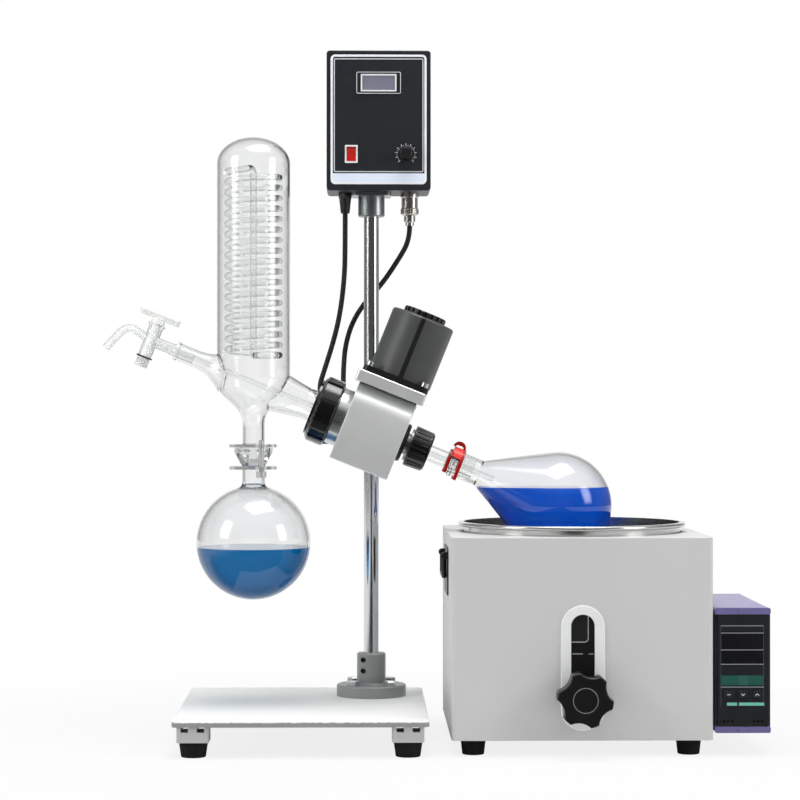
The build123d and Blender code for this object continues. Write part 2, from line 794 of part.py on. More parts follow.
# Black face plate, open for the keys
face_height = controller_height - 2 * cap_band
with BuildPart() as controller_face:
    with BuildSketch(front_plane(case_front, controller_x, controller_middle)):
        RectangleRounded(controller_width - 2 * face_border, face_height - 0.2, 1.5)
    extrude(amount=face_thick)
    with BuildSketch(front_plane(face_front, controller_x, key_row)):
        with GridLocations(key_spread, 0, 3, 1):
            RectangleRounded(key_width, key_height, 1.0)
    extrude(amount=-face_thick, mode=Mode.SUBTRACT)
    with BuildSketch(front_plane(face_front, controller_x, controller_bottom + cap_band + 5.8)):
        with GridLocations(vent_spread, 0, 2, 1):
            with GridLocations(vent_pitch, 0, 3, 1):
                Circle(vent_dia / 2)
    extrude(amount=-face_thick / 2, mode=Mode.SUBTRACT)


def controller_key(offset):
    """One push key, standing a little proud of the face."""
    with BuildPart() as key:
        with BuildSketch(front_plane(face_front - key_proud, controller_x + offset, key_row)):
            RectangleRounded(key_width - 2 * key_clear, key_height - 2 * key_clear, 0.9)
        extrude(amount=-(face_thick + key_proud - 1.2))
        fillet(key.faces().sort_by(Axis.Y)[0].edges(), 0.35)
    return key


key_set = controller_key(-key_spread)
key_down = controller_key(0.0)
key_up = controller_key(key_spread)

# Split bush that slides on the column inside the clamp
bush_height = clamp_height + 2.0
with BuildPart() as clamp_bush:
    with BuildSketch(Plane((column_x, column_y, clamp_bottom - 2.0))):
        Circle(bush_dia / 2)
        Circle(column_dia / 2 + slide_fit, mode=Mode.SUBTRACT)
        with Locations((bush_dia / 2, 0)):
            Rectangle(bush_dia, 2.0, mode=Mode.SUBTRACT)
    extrude(amount=bush_height)
    with BuildSketch(Plane((column_x, column_y, clamp_bottom - 2.0))):
        Circle(clamp_dia / 2 - 2.0)
        Circle(column_dia / 2 + slide_fit, mode=Mode.SUBTRACT)
    extrude(amount=2.0 - slide_fit)

# Column clamp: sleeve, pivot boss towards the head and lead box at the left
housing_back = pivot.Y + housing_depth / 2
boss_front = housing_back + 1.0
pivot_end = housing_back + pivot_length
bush_bore = bush_dia / 2 + slide_fit
box_centre_x = column_x - (lead_box_left + clamp_dia / 2 - 8) / 2
tilt_lever_y = (boss_front + pivot_end) / 2
boot_z = lead_box_bottom + lead_box_height + boot_height
with BuildPart() as column_clamp:
    with BuildSketch(Plane((column_x, column_y, clamp_bottom))):
        Circle(clamp_dia / 2)
    extrude(amount=clamp_height)
    extrude(
        disc(back_plane(boss_front, pivot.X, pivot.Z), boss_dia), amount=column_y - boss_front
    )
    with BuildSketch(Plane((box_centre_x, column_y, lead_box_bottom))):
        RectangleRounded(lead_box_left - clamp_dia / 2 + 8, lead_box_depth, 4.0)
    extrude(amount=lead_box_height)
    chamfer(column_clamp.faces().sort_by(Axis.Z)[-1].edges(), 1.5)
    with BuildSketch(Plane((column_x, column_y, lead_box_bottom + lead_box_height))):
        with Locations((-left_boot, 0), (-right_boot, 0)):
            Circle(boot_dia / 2)
    extrude(amount=boot_height, taper=8)
    with BuildSketch(Plane((column_x, column_y, clamp_bottom - 10))):
        Circle(bush_bore)
    extrude(amount=clamp_height + 20, mode=Mode.SUBTRACT)
    extrude(
        disc(back_plane(boss_front, pivot.X, pivot.Z), pivot_dia + 2 * slide_fit),
        amount=pivot_end - boss_front + seat_gap, mode=Mode.SUBTRACT,
    )
    extrude(
        disc(right_plane(pivot.X, tilt_lever_y, pivot.Z), lever_screw_dia + 2 * slide_fit),
        amount=boss_dia, mode=Mode.SUBTRACT,
    )
    extrude(
        disc(back_plane(column_y, column_x, height_lever_height), lever_screw_dia + 2 * slide_fit),
        amount=clamp_dia, mode=Mode.SUBTRACT,
    )


def clamp_lever(origin, outward, lift, screw_start, hub_start):
    """Ball-ended clamping lever: screw and hub along outward, arm leaning out towards lift."""
    tip_out = hub_start + lever_hub_length * 0.5 + lever_arm * 0.55
    with BuildPart() as lever:
        base = Plane(origin=origin + outward * screw_start, z_dir=outward)
        extrude(disc(base, lever_screw_dia), amount=hub_start - screw_start)
        hub = Plane(origin=origin + outward * hub_start, z_dir=outward)
        extrude(disc(hub, lever_hub_dia), amount=lever_hub_length)
        chamfer(lever.faces().sort_by(Axis(origin, outward))[-1].edges(), 2.0)
        root = origin + outward * (hub_start + lever_hub_length * 0.5)
        tip = origin + outward * tip_out + lift * (lever_arm * 0.8)
        reach = tip - root
        with BuildSketch(Plane(origin=root, z_dir=reach)):
            Circle(lever_tip_dia * 0.55)
        with BuildSketch(Plane(origin=tip, z_dir=reach)):
            Circle(lever_tip_dia * 0.4)
        loft()
        with Locations(tip):
            Sphere(lever_tip_dia / 2)
    return lever


tilt_lever = clamp_lever(
    Vector(pivot.X, tilt_lever_y, pivot.Z), Vector(1, 0, 0), Vector(0, 0, 1),
    pivot_dia / 2 + 0.1, boss_dia / 2 + 1.0,
)
height_lever = clamp_lever(
    Vector(column_x, column_y, height_lever_height), Vector(0, 1, 0), Vector(0.6, 0, -0.8),
    bush_dia / 2 + 0.1, clamp_dia / 2 + 1.0,
)

# Head housing with its rounded brow, bored for gear and pinion, with the pivot at its back
cavity_length = housing_length - 2 * end_wall
with BuildPart() as head_housing:
    with BuildSketch(ring_plane(-half_length)) as section:
        Rectangle(housing_depth, housing_height)
        fillet(section.vertices().group_by(Axis.X)[0].sort_by(Axis.Y)[-1], housing_round)
        fillet(section.vertices().group_by(Axis.X)[0].sort_by(Axis.Y)[0], 2.0)
        fillet(section.vertices().group_by(Axis.X)[-1], 3.0)
    extrude(amount=housing_length)
    fillet(head_housing.faces().group_by(Axis(pivot, along))[0].edges(), 1.2)
    fillet(head_housing.faces().group_by(Axis(pivot, along))[-1].edges(), 1.2)
    extrude(
        disc(back_plane(housing_back - 3.0, pivot.X, pivot.Z), pivot_dia), amount=pivot_length + 3.0
    )
    extrude(disc(ring_plane(-cavity_length / 2), gear_room), amount=cavity_length, mode=Mode.SUBTRACT)
    extrude(disc(deck_plane(0, motor_side), pinion_room), amount=half_height, mode=Mode.SUBTRACT)
    seat = bearing_outside + 2 * slide_fit
    extrude(disc(ring_plane(-half_length), seat), amount=bearing_width, mode=Mode.SUBTRACT)
    extrude(disc(ring_plane(half_length), seat), amount=-bearing_width, mode=Mode.SUBTRACT)
    extrude(
        disc(ring_plane(-half_length), bearing_outside - 8.0), amount=housing_length, mode=Mode.SUBTRACT
    )
    extrude(
        disc(back_plane(housing_back - housing_wall - 1, pivot.X, pivot.Z), pivot_dia / 2),
        amount=pivot_length + housing_wall + 1, mode=Mode.SUBTRACT,
    )

# Motor plate on the housing
plate_top = half_height + plate_thick
with BuildPart() as motor_plate:
    with BuildSketch(deck_plane(half_height)):
        RectangleRounded(plate_length, housing_depth, 3.0)
    extrude(amount=plate_thick)
    chamfer(motor_plate.faces().sort_by(Axis(pivot, across))[-1].edges(), 1.0)
    extrude(
        disc(deck_plane(half_height, motor_side), motor_shaft_dia + 16), amount=plate_thick,
        mode=Mode.SUBTRACT,
    )

# Motor with its square flange and end bearings
motor_bottom = plate_top + motor_flange_thick
motor_top = motor_bottom + motor_length
stator_bore = 50.3
with BuildPart() as motor_body:
    with BuildSketch(deck_plane(plate_top, motor_side - 4.0)):
        RectangleRounded(motor_flange_size, motor_flange_size, 6.0)
    extrude(amount=motor_flange_thick)
    with BuildSketch(deck_plane(motor_bottom, motor_side)):
        Circle(motor_dia / 2)
    extrude(amount=motor_length)
    fillet(motor_body.faces().sort_by(Axis(pivot, across))[-1].edges(), 3.0)
    extrude(
        disc(deck_plane(motor_bottom + motor_wall, motor_side), stator_bore),
        amount=motor_length - 2 * motor_wall, mode=Mode.SUBTRACT,
    )
    extrude(
        disc(deck_plane(plate_top, motor_side), motor_shaft_dia + 2 * slide_fit),
        amount=motor_flange_thick + motor_length - motor_wall + 2, mode=Mode.SUBTRACT,
    )

# Ribbed cap on the motor
with BuildPart() as motor_cap:
    with BuildSketch(deck_plane(motor_top, motor_side)):
        Circle(motor_cap_dia / 2)
    extrude(amount=motor_cap_height)
    fillet(motor_cap.faces().sort_by(Axis(pivot, across))[-1].edges(), 2.0)
    with BuildSketch(deck_plane(motor_top + 1.5, motor_side)):
        with PolarLocations(motor_cap_dia / 2, 20):
            Rectangle(9.0, 3.0)
    extrude(amount=motor_cap_height, mode=Mode.SUBTRACT)

# Bevel drive: pitch cones share their tip where the motor axis meets the spindle axis
gear_radius = gear_module * gear_teeth / 2
pinion_radius = gear_module * pinion_teeth / 2
cone_length = hypot(gear_radius, pinion_radius)
inner_share = (cone_length - gear_face) / cone_length
rim_share = 0.025             # blank beyond the teeth at each end
tooth_top = 0.75 * gear_module
tooth_foot = 1.05 * gear_module
drive_apex = head_point(motor_side, 0)


def bevel_tooth(radius, rise):
    """One straight tooth about +Z, narrowing towards the cone tip at the origin."""
    half_pitch = pi * gear_module / 4 - gear_backlash / 2
    flank = tan(radians(20))
    with BuildPart() as tooth:
        for share in (1.0, inner_share):
            section = Plane(
                origin=(radius * share, 0, rise * share), x_dir=(0, 1, 0), z_dir=(radius, 0, rise)
            )
            tip = (half_pitch - tooth_top * flank) * share
            foot = (half_pitch + tooth_foot * flank) * share
            with BuildSketch(section):
                with BuildLine():
                    Polyline(
                        (-tip, -tooth_top * share), (tip, -tooth_top * share),
                        (foot, (tooth_foot + 0.4) * share), (-foot, (tooth_foot + 0.4) * share), close=True,
                    )
                make_face()
        loft()
    return tooth.part


def cone_foot(radius, rise, share):
    """Point on the tooth roots' cone as (radius, rise), at a share of the cone length."""
    return (
        (radius - tooth_foot * rise / cone_length) * share,
        (rise + tooth_foot * radius / cone_length) * share,
    )


gear_blank_plane = Plane(origin=drive_apex, x_dir=across, z_dir=(0, -1, 0))
gear_frame = Plane(origin=drive_apex, x_dir=across, z_dir=-along)
bore_radius = bearing_bore / 2
with BuildPart() as drive_gear:
    outer_foot = cone_foot(gear_radius, pinion_radius, 1.0 + rim_share)
    inner_foot = cone_foot(gear_radius, pinion_radius, inner_share - rim_share)
    back_rise = outer_foot[1] + 6.0
    revolve(
        outline(
            gear_blank_plane, outer_foot, (outer_foot[0] - 1.5, outer_foot[1] + 3.0),
            (bore_radius + 8, back_rise), (bore_radius, back_rise),
            (bore_radius, inner_foot[1] - 1.0), (bore_radius + 6, inner_foot[1] - 1.0), inner_foot,
        ),
        axis=spindle_axis,
    )
    gear_tooth = bevel_tooth(gear_radius, pinion_radius)
    with Locations(gear_frame):
        with PolarLocations(0, gear_teeth, start_angle=180 / gear_teeth):
            add(gear_tooth)

pinion_blank_plane = Plane(origin=drive_apex, x_dir=-along, z_dir=(0, 1, 0))
pinion_frame = Plane(origin=drive_apex, x_dir=-along, z_dir=across)
shaft_radius = motor_shaft_dia / 2
armature_start = motor_bottom + motor_wall + 10.0
armature_end = motor_top - motor_wall - 10.0
shaft_end = motor_top - motor_wall + 1.5
with BuildPart() as motor_shaft:
    outer_foot = cone_foot(pinion_radius, gear_radius, 1.0 + rim_share)
    inner_foot = cone_foot(pinion_radius, gear_radius, inner_share - rim_share)
    revolve(
        outline(
            pinion_blank_plane, (0, inner_foot[1] - 0.8), (inner_foot[0] - 0.5, inner_foot[1] - 0.8),
            inner_foot, outer_foot, (shaft_radius + 2, outer_foot[1] + 2),
            (shaft_radius + 2, outer_foot[1] + 5), (shaft_radius, outer_foot[1] + 5),
            (shaft_radius, armature_start), (armature_dia / 2, armature_start),
            (armature_dia / 2, armature_end), (shaft_radius, armature_end),
            (shaft_radius, shaft_end), (0, shaft_end),
        ),
        axis=Axis(drive_apex, across),
    )
    pinion_tooth = bevel_tooth(pinion_radius, gear_radius)
    with Locations(pinion_frame):
        with PolarLocations(0, pinion_teeth):
            add(pinion_tooth)

# Ball bearings of the spindle, as closed rings
with BuildPart() as spindle_bearings:
    for start in (-half_length, half_length - bearing_width):
        extrude(disc(ring_plane(start), bearing_outside, bearing_bore + 2 * slide_fit), amount=bearing_width)

# Rear collar with the threaded spigot for the union nut
collar_end = -half_length - collar_length
spigot_end = collar_end - spigot_length
spindle_bore = vapour_tube_dia / 2 + slide_fit
spindle_clear = bearing_bore / 2 + 0.5
with BuildPart() as rear_collar:
    revolve(
        outline(
            spindle_plane, (-half_length, spindle_clear), (-half_length, collar_dia / 2),
            (collar_end + 1, collar_dia / 2), (collar_end, collar_dia / 2 - 1), (collar_end, spigot_dia / 2),
            (spigot_end + 1, spigot_dia / 2), (spigot_end, spigot_dia / 2 - 1),
            (spigot_end, seal_dia / 2), (spigot_end + seal_width, seal_dia / 2),
            (spigot_end + seal_width, spindle_clear),
        ),
        axis=spindle_axis,
    )

# Lip seal between spindle and collar
with BuildPart() as vacuum_seal:
    extrude(
        disc(ring_plane(spigot_end), seal_dia - 2 * slide_fit, bearing_bore + 2 * slide_fit), amount=seal_width
    )

# Front bearing cap
with BuildPart() as front_cap:
    extrude(disc(ring_plane(half_length), cap_dia, 2 * spindle_clear), amount=cap_thick)
    chamfer(front_cap.faces().sort_by(Axis(pivot, along))[-1].edges().sort_by(SortBy.LENGTH)[-1], 1.5)
    with BuildSketch(ring_plane(half_length + cap_thick)):
        with PolarLocations((cap_dia / 2 + spindle_clear) / 2, 4, start_angle=45):
            Circle(cap_screw_dia / 2)
    extrude(amount=-3.0, mode=Mode.SUBTRACT)

# Hollow spindle with the threaded nose for the flask nut
spindle_start = spigot_end + 1.0
with BuildPart() as spindle:
    revolve(
        outline(
            spindle_plane, (spindle_start, spindle_bore), (spindle_start, bearing_bore / 2),
            (spindle_nose_start, bearing_bore / 2), (spindle_nose_start, spindle_nose_dia / 2),
            (spindle_nose_end, spindle_nose_dia / 2), (spindle_nose_end, spindle_bore),
        ),
        axis=spindle_axis,
    )

# Grooved flask nut over the spindle nose
bead_thick = 3.0
nut_inside = spindle_nose_end + bead_thick + 0.4
with BuildPart() as flask_nut:
    radius = flask_nut_dia / 2
    nose_clear = spindle_nose_dia / 2 + slide_fit
    revolve(
        outline(
            spindle_plane, (flask_nut_start, nose_clear), (flask_nut_start, radius - 1),
            (flask_nut_start + 1, radius), (flask_nut_end - 2, radius - 0.8), (flask_nut_end, radius - 2.8),
            (flask_nut_end, vapour_tube_dia / 2 + seat_gap), (nut_inside, vapour_tube_dia / 2 + seat_gap),
            (nut_inside, nose_clear),
        ),
        axis=spindle_axis,
    )
    with BuildSketch(ring_plane(flask_nut_start + 2.5)):
        with PolarLocations(radius, 24):
            Circle(1.3)
    extrude(amount=flask_nut_end - flask_nut_start - 6.0, mode=Mode.SUBTRACT)

# Vapour tube with its bead and ground cone
tube_bore = vapour_tube_dia / 2 - 2.0
with BuildPart() as vapour_tube:
    tube_radius = vapour_tube_dia / 2
    revolve(
        outline(
            spindle_plane, (vapour_tube_start, tube_bore), (vapour_tube_start, tube_radius),
            (spindle_nose_end + 0.2, tube_radius), (spindle_nose_end + 0.2, tube_radius + 5),
            (spindle_nose_end + 0.2 + bead_thick, tube_radius + 5),
            (spindle_nose_end + 0.2 + bead_thick, tube_radius), (joint_start - 6, tube_radius),
            (joint_start, joint_large_dia / 2), (joint_end, joint_small_dia / 2), (joint_end, tube_bore),
        ),
        axis=spindle_axis,
    )

# Pear flask: ground neck, cone and sphere
joint_slope = (joint_large_dia - joint_small_dia) / 2 / (joint_end - joint_start)
joint_gap = 0.1
neck_inside = joint_large_dia / 2 + joint_gap
flask_radius = flask_dia / 2
cone_sine = sin(radians(flask_cone))
cone_cosine = cos(radians(flask_cone))


def pear_half(radius, neck_radius, neck_along):
    """Points of a pear outline: neck end, cone start, tangent point, sphere far point."""
    tangent = (flask_along - radius * cone_sine, radius * cone_cosine)
    cone_start = tangent[0] - (tangent[1] - neck_radius) / tan(radians(flask_cone))
    far_arc = (flask_along + radius * sin(radians(45)), radius * sin(radians(45)))
    return (neck_along, neck_radius), (cone_start, neck_radius), tangent, far_arc, (flask_along + radius, 0)


with BuildPart() as evaporating_flask:
    for grow, neck_radius, mode in (
        (0.0, flask_neck_dia / 2, Mode.ADD), (glass_wall, flask_neck_dia / 2 - 3.4, Mode.SUBTRACT),
    ):
        neck, cone_start, tangent, far_arc, far = pear_half(flask_radius - grow, neck_radius, joint_start - 1)
        with BuildSketch(spindle_plane):
            with BuildLine():
                Polyline((joint_start - 1, 0), neck, cone_start, tangent)
                ThreePointArc(tangent, far_arc, far)
                Line(far, (joint_start - 1, 0))
            make_face()
        revolve(axis=spindle_axis, mode=mode)
    revolve(
        outline(
            spindle_plane, (joint_start - 1, 0), (joint_start - 1, neck_inside + joint_slope),
            (joint_end + 2, neck_inside - joint_slope * (joint_end + 2 - joint_start)), (joint_end + 2, 0),
        ),
        axis=spindle_axis, mode=Mode.SUBTRACT,
    )
    revolve(
        outline(
            spindle_plane, (joint_start - 1, flask_neck_dia / 2 - 1), (joint_start, flask_neck_dia / 2 + 1.5),
            (joint_start + 3, flask_neck_dia / 2 + 1.5), (joint_start + 4, flask_neck_dia / 2 - 1),
        ),
        axis=spindle_axis,
    )

# Spring clip over the flask joint: a saddle, two forked legs each side and a finger loop
clip_tube_start = joint_start - 6.0
clip_neck_start = joint_start + 7.5
clip_end = clip_neck_start + clip_width
tube_inside = joint_large_dia / 2 - 0.6
neck_grip = flask_neck_dia / 2 + 0.15
saddle_inside = flask_neck_dia / 2 + 1.9
saddle_out = saddle_inside + 1.7
saddle_half = 68.0            # saddle and legs from the top, degrees
clip_middle = (clip_tube_start + clip_end) / 2
with BuildPart() as joint_clip:
    saddle = outline(
        spindle_plane, (clip_tube_start, tube_inside), (clip_tube_start, tube_inside + clip_wall),
        (clip_tube_start + 2.5, tube_inside + clip_wall), (clip_tube_start + 3.6, saddle_out),
        (clip_end, saddle_out), (clip_end, neck_grip), (clip_neck_start - 2.7, neck_grip),
        (clip_neck_start - 3.7, saddle_inside), (clip_tube_start + 4.6, saddle_inside),
        (clip_tube_start + clip_width, tube_inside + 1.8), (clip_tube_start + clip_width, tube_inside),
    )
    tube_leg = outline(
        spindle_plane, (clip_tube_start, tube_inside), (clip_tube_start, tube_inside + clip_wall),
        (clip_tube_start + clip_width, tube_inside + clip_wall), (clip_tube_start + clip_width, tube_inside),
    )
    neck_leg = outline(
        spindle_plane, (clip_neck_start, neck_grip), (clip_neck_start, saddle_out),
        (clip_end, saddle_out), (clip_end, neck_grip),
    )
    for side in (1, -1):
        revolve(saddle, axis=spindle_axis, revolution_arc=side * saddle_half)
        for leg in (tube_leg, neck_leg):
            revolve(leg, axis=spindle_axis, revolution_arc=side * 90)
        for at, inside, outside, drop in (
            (clip_tube_start, tube_inside, tube_inside + clip_wall, 14.0),
            (clip_neck_start, neck_grip, saddle_out, 18.0),
        ):
            with BuildSketch(ring_plane(at)):
                with Locations((side * (inside + outside) / 2, 0)):
                    Rectangle(outside - inside, drop, align=(Align.CENTER, Align.MAX))
            extrude(amount=clip_width)
    loop_centre = saddle_out - 0.3
    with BuildSketch(Plane(origin=pivot, x_dir=along, z_dir=(0, -1, 0))):
        with Locations((clip_middle, loop_centre)):
            Circle(clip_loop_dia / 2)
            SlotOverall(clip_loop_dia - 6.0, 5.0, mode=Mode.SUBTRACT)
        with Locations((clip_middle, loop_centre)):
            Rectangle(clip_loop_dia, clip_loop_dia, align=(Align.CENTER, Align.MAX), mode=Mode.SUBTRACT)
    extrude(amount=clip_loop_thick / 2, both=True)

# Union nut that holds the condenser arm
with BuildPart() as condenser_nut:
    radius = union_nut_dia / 2
    spigot_clear = spigot_dia / 2 + slide_fit
    lip_face = spigot_end - arm_flange_thick - 4.0
    revolve(
        outline(
            spindle_plane, (union_nut_end, spigot_clear), (union_nut_end, radius - 1.5),
            (union_nut_end - 1.5, radius), (union_nut_start + 6, radius), (union_nut_start + 2.5, radius - 4),
            (union_nut_start + 2.5, radius - 6.5), (union_nut_start, radius - 6.5),
            (union_nut_start, arm_dia / 2 + 1), (lip_face, arm_dia / 2 + 1), (lip_face, spigot_clear),
        ),
        axis=spindle_axis,
    )
    with BuildSketch(ring_plane(union_nut_start + 5)):
        with PolarLocations(radius, union_nut_lobes, start_angle=18):
            Rectangle(2.4, 3.0)
    extrude(amount=union_nut_end - union_nut_start, mode=Mode.SUBTRACT)

# Condenser glass: jacket, drip neck with its ball, side arm and feed port
condenser_x = head_point(condenser_along, 0).X
condenser_plane = front_plane(pivot.Y, condenser_x, 0)
condenser_axis = Axis((condenser_x, pivot.Y, 0), (0, 0, 1))
dome_spring = condenser_top - dome_height
ball_mouth = ball_height - ball_dia * 0.45
feed_port_bore = 14.7


def jacket_half(inset):
    """Draw the half outline of the jacket, inset by the glass wall for its inside."""
    body = condenser_dia / 2 - inset
    neck = drip_neck_dia / 2 - inset
    ball = ball_dia / 2 - inset
    low = ball_mouth - inset
    mouth = (ball**2 - (ball_mouth - ball_height) ** 2) ** 0.5 if inset == 0 else neck
    neck_meet = ball_height + (ball**2 - neck**2) ** 0.5
    with BuildSketch(condenser_plane) as half:
        with BuildLine():
            if inset == 0:
                Line((0, ball_mouth), (mouth, ball_mouth))
                ThreePointArc((mouth, ball_mouth), (ball, ball_height), (neck, neck_meet))
                Line((neck, neck_meet), (neck, drip_neck_top))
            else:
                Polyline(
                    (0, low), (neck - 3, low), (neck - 3, ball_height), (neck, ball_height + 5),
                    (neck, drip_neck_top),
                )
            Bezier(
                (neck, drip_neck_top), (neck, drip_neck_top + 30), (body, body_bottom - 30), (body, body_bottom)
            )
            Line((body, body_bottom), (body, dome_spring))
            rise = dome_height - inset
            Bezier(
                (body, dome_spring), (body, dome_spring + 0.55 * rise),
                (0.55 * body, condenser_top - inset), (0, condenser_top - inset),
            )
            Line((0, condenser_top - inset), (0, low if inset else ball_mouth))
        make_face()
    return half.sketch


def arm_half(inset):
    """Half outline of the side arm, from inside the jacket to its flange."""
    root = arm_root_dia / 2 - inset
    tube = arm_dia / 2 - inset
    arm_end = spigot_end - 0.3
    flange = arm_flange_dia / 2 if inset == 0 else tube
    points = [
        (condenser_along, 0), (condenser_along, root + 2), (condenser_along + 25, root + 2), (-111, root),
        (-84, tube), (arm_end - arm_flange_thick - 3, tube), (arm_end - arm_flange_thick, flange),
        (arm_end + inset, flange), (arm_end + inset, 0),
    ]
    return outline(spindle_plane, *points)


def port_half(inset):
    """Half outline of the feed port, flaring from its socket into the jacket."""
    socket = feed_port_dia / 2 if inset == 0 else feed_port_bore / 2
    lip = socket + (1.2 if inset == 0 else 0)
    flare = 25.0 - inset
    with BuildSketch(spindle_plane) as half:
        with BuildLine():
            Polyline(
                (condenser_along, 0), (feed_port_end - inset, 0), (feed_port_end - inset, lip),
                (feed_port_end + 3, lip), (feed_port_end + 4, socket), (feed_port_end + 26, socket),
            )
            Bezier(
                (feed_port_end + 26, socket), (feed_port_end + 42, socket), (feed_port_end + 52, flare - 8),
                (condenser_along - 34, flare),
            )
            Polyline((condenser_along - 34, flare), (condenser_along, flare), (condenser_along, 0))
        make_face()
    return half.sketch


coil_radius = (coil_outside - coil_tube_dia) / 2
coil_height = coil_pitch * coil_turns
coil_top = coil_bottom + coil_height
return_top = coil_top + coil_tube_dia + 4.0
coil_lead = Vector(0, 2 * pi * coil_radius, coil_pitch).normalized()
coil_end = Vector(condenser_x + coil_radius, pivot.Y, coil_top)
return_way = Vector(-sin(radians(35)), cos(radians(35)), 0)
return_exit = Vector(condenser_x, pivot.Y, return_top)
stub_clear = coil_tube_dia + 2 * 0.1
with BuildPart() as condenser_body:
    revolve(jacket_half(0), axis=condenser_axis)
    revolve(arm_half(0), axis=spindle_axis)
    revolve(port_half(0), axis=spindle_axis)
    extrude(
        disc(back_plane(pivot.Y + condenser_dia / 2 - 6, condenser_x, vacuum_stub_height), vacuum_stub_dia),
        amount=6 + hose_stub_length,
    )
    revolve(jacket_half(glass_wall), axis=condenser_axis, mode=Mode.SUBTRACT)
    revolve(arm_half(glass_wall), axis=spindle_axis, mode=Mode.SUBTRACT)
    revolve(port_half(glass_wall), axis=spindle_axis, mode=Mode.SUBTRACT)
    extrude(
        disc(back_plane(pivot.Y, condenser_x, vacuum_stub_height), vacuum_stub_dia - 4.0),
        amount=condenser_dia / 2 + hose_stub_length + 1, mode=Mode.SUBTRACT,
    )
    extrude(disc(Plane(origin=coil_end, z_dir=coil_lead), stub_clear), amount=coil_stub, mode=Mode.SUBTRACT)
    extrude(
        disc(Plane(origin=return_exit, z_dir=return_way), stub_clear), amount=coil_stub + 20, mode=Mode.SUBTRACT
    )

# Cooling coil with its central return tube and hose stubs
with BuildPart() as condenser_coil:
    with BuildLine() as turns:
        Helix(coil_pitch, coil_height, coil_radius, center=(condenser_x, pivot.Y, coil_bottom))
    with BuildSketch(Plane(origin=turns.line @ 0, z_dir=turns.line % 0)):
        Circle(coil_tube_dia / 2)
    sweep(is_frenet=True)
    extrude(disc(Plane(origin=turns.line @ 1, z_dir=turns.line % 1), coil_tube_dia), amount=coil_stub)
    turn_start = turns.line @ 0
    turn_back = (turns.line % 0) * -1
    inward = Vector(-1, 0, 0)
    link_plane = Plane(origin=turn_start, x_dir=inward, z_dir=inward.cross(turn_back))
    with BuildLine(link_plane) as link:
        CenterArc((coil_radius / 2, 0), coil_radius / 2, 180, -180)
    with BuildSketch(Plane(origin=turn_start, z_dir=turn_back)):
        Circle(coil_tube_dia / 2)
    sweep(path=link.line)
    with BuildLine() as riser:
        FilletPolyline(
            (condenser_x, pivot.Y, coil_bottom), return_exit,
            return_exit + return_way * (condenser_dia / 2 + hose_stub_length), radius=9.0,
        )
    with BuildSketch(Plane(origin=riser.line @ 0, z_dir=(0, 0, 1))):
        Circle(coil_tube_dia / 2)
    sweep(path=riser.line)
    with Locations((condenser_x, pivot.Y, coil_bottom)):
        Sphere(coil_tube_dia / 2)
    inlet = Plane(origin=coil_end + coil_lead * coil_stub, z_dir=coil_lead)
    extrude(disc(inlet, hose_stub_dia), amount=-hose_stub_length)
    outlet_reach = condenser_dia / 2 + 1.0
    outlet = Plane(origin=return_exit + return_way * outlet_reach, z_dir=return_way)
    extrude(disc(outlet, hose_stub_dia), amount=hose_stub_length - 1.0)

# Stopcock glass: barrel, arm with ground cone, bent spout
cone_start = feed_port_end - 2.0
cone_end = feed_port_end + 22.0
barrel_end = barrel_length / 2
spout_start = head_point(stopcock_along, 0)
spout_corner = spout_start + Vector(-26.3, 0, 18.7)
spout_tip = spout_start + Vector(-51.8, 0, -8.3)
key_bore = key_dia + 2 * slide_fit
with BuildPart() as stopcock_body:
    extrude(disc(deck_plane(-barrel_end, stopcock_along), barrel_dia - 1.5), amount=barrel_length, taper=-1)
    extrude(disc(deck_plane(barrel_end - 2.5, stopcock_along), barrel_dia + 3), amount=2.5)
    revolve(
        outline(
            spindle_plane, (stopcock_along, 0), (stopcock_along, feed_arm_dia / 2),
            (cone_start - 5, feed_arm_dia / 2), (cone_start, feed_port_bore / 2 - joint_gap),
            (cone_end, feed_port_bore / 2 - joint_gap), (cone_end, 0),
        ),
        axis=spindle_axis,
    )
    with BuildLine() as spout:
        FilletPolyline(spout_start, spout_corner, spout_tip, radius=14.0)
    with BuildSketch(Plane(origin=spout.line @ 0, z_dir=spout.line % 0)):
        Circle(spout_dia / 2)
    sweep(path=spout.line)
    with BuildSketch(Plane(origin=spout.line @ 0, z_dir=spout.line % 0)):
        Circle(spout_bore / 2)
    sweep(path=spout.line, mode=Mode.SUBTRACT)
    extrude(
        disc(deck_plane(-barrel_end - 1, stopcock_along), key_bore), amount=barrel_length + 2,
        mode=Mode.SUBTRACT,
    )
    extrude(
        disc(ring_plane(stopcock_along), feed_tube_dia + 2 * slide_fit), amount=cone_end - stopcock_along,
        mode=Mode.SUBTRACT,
    )

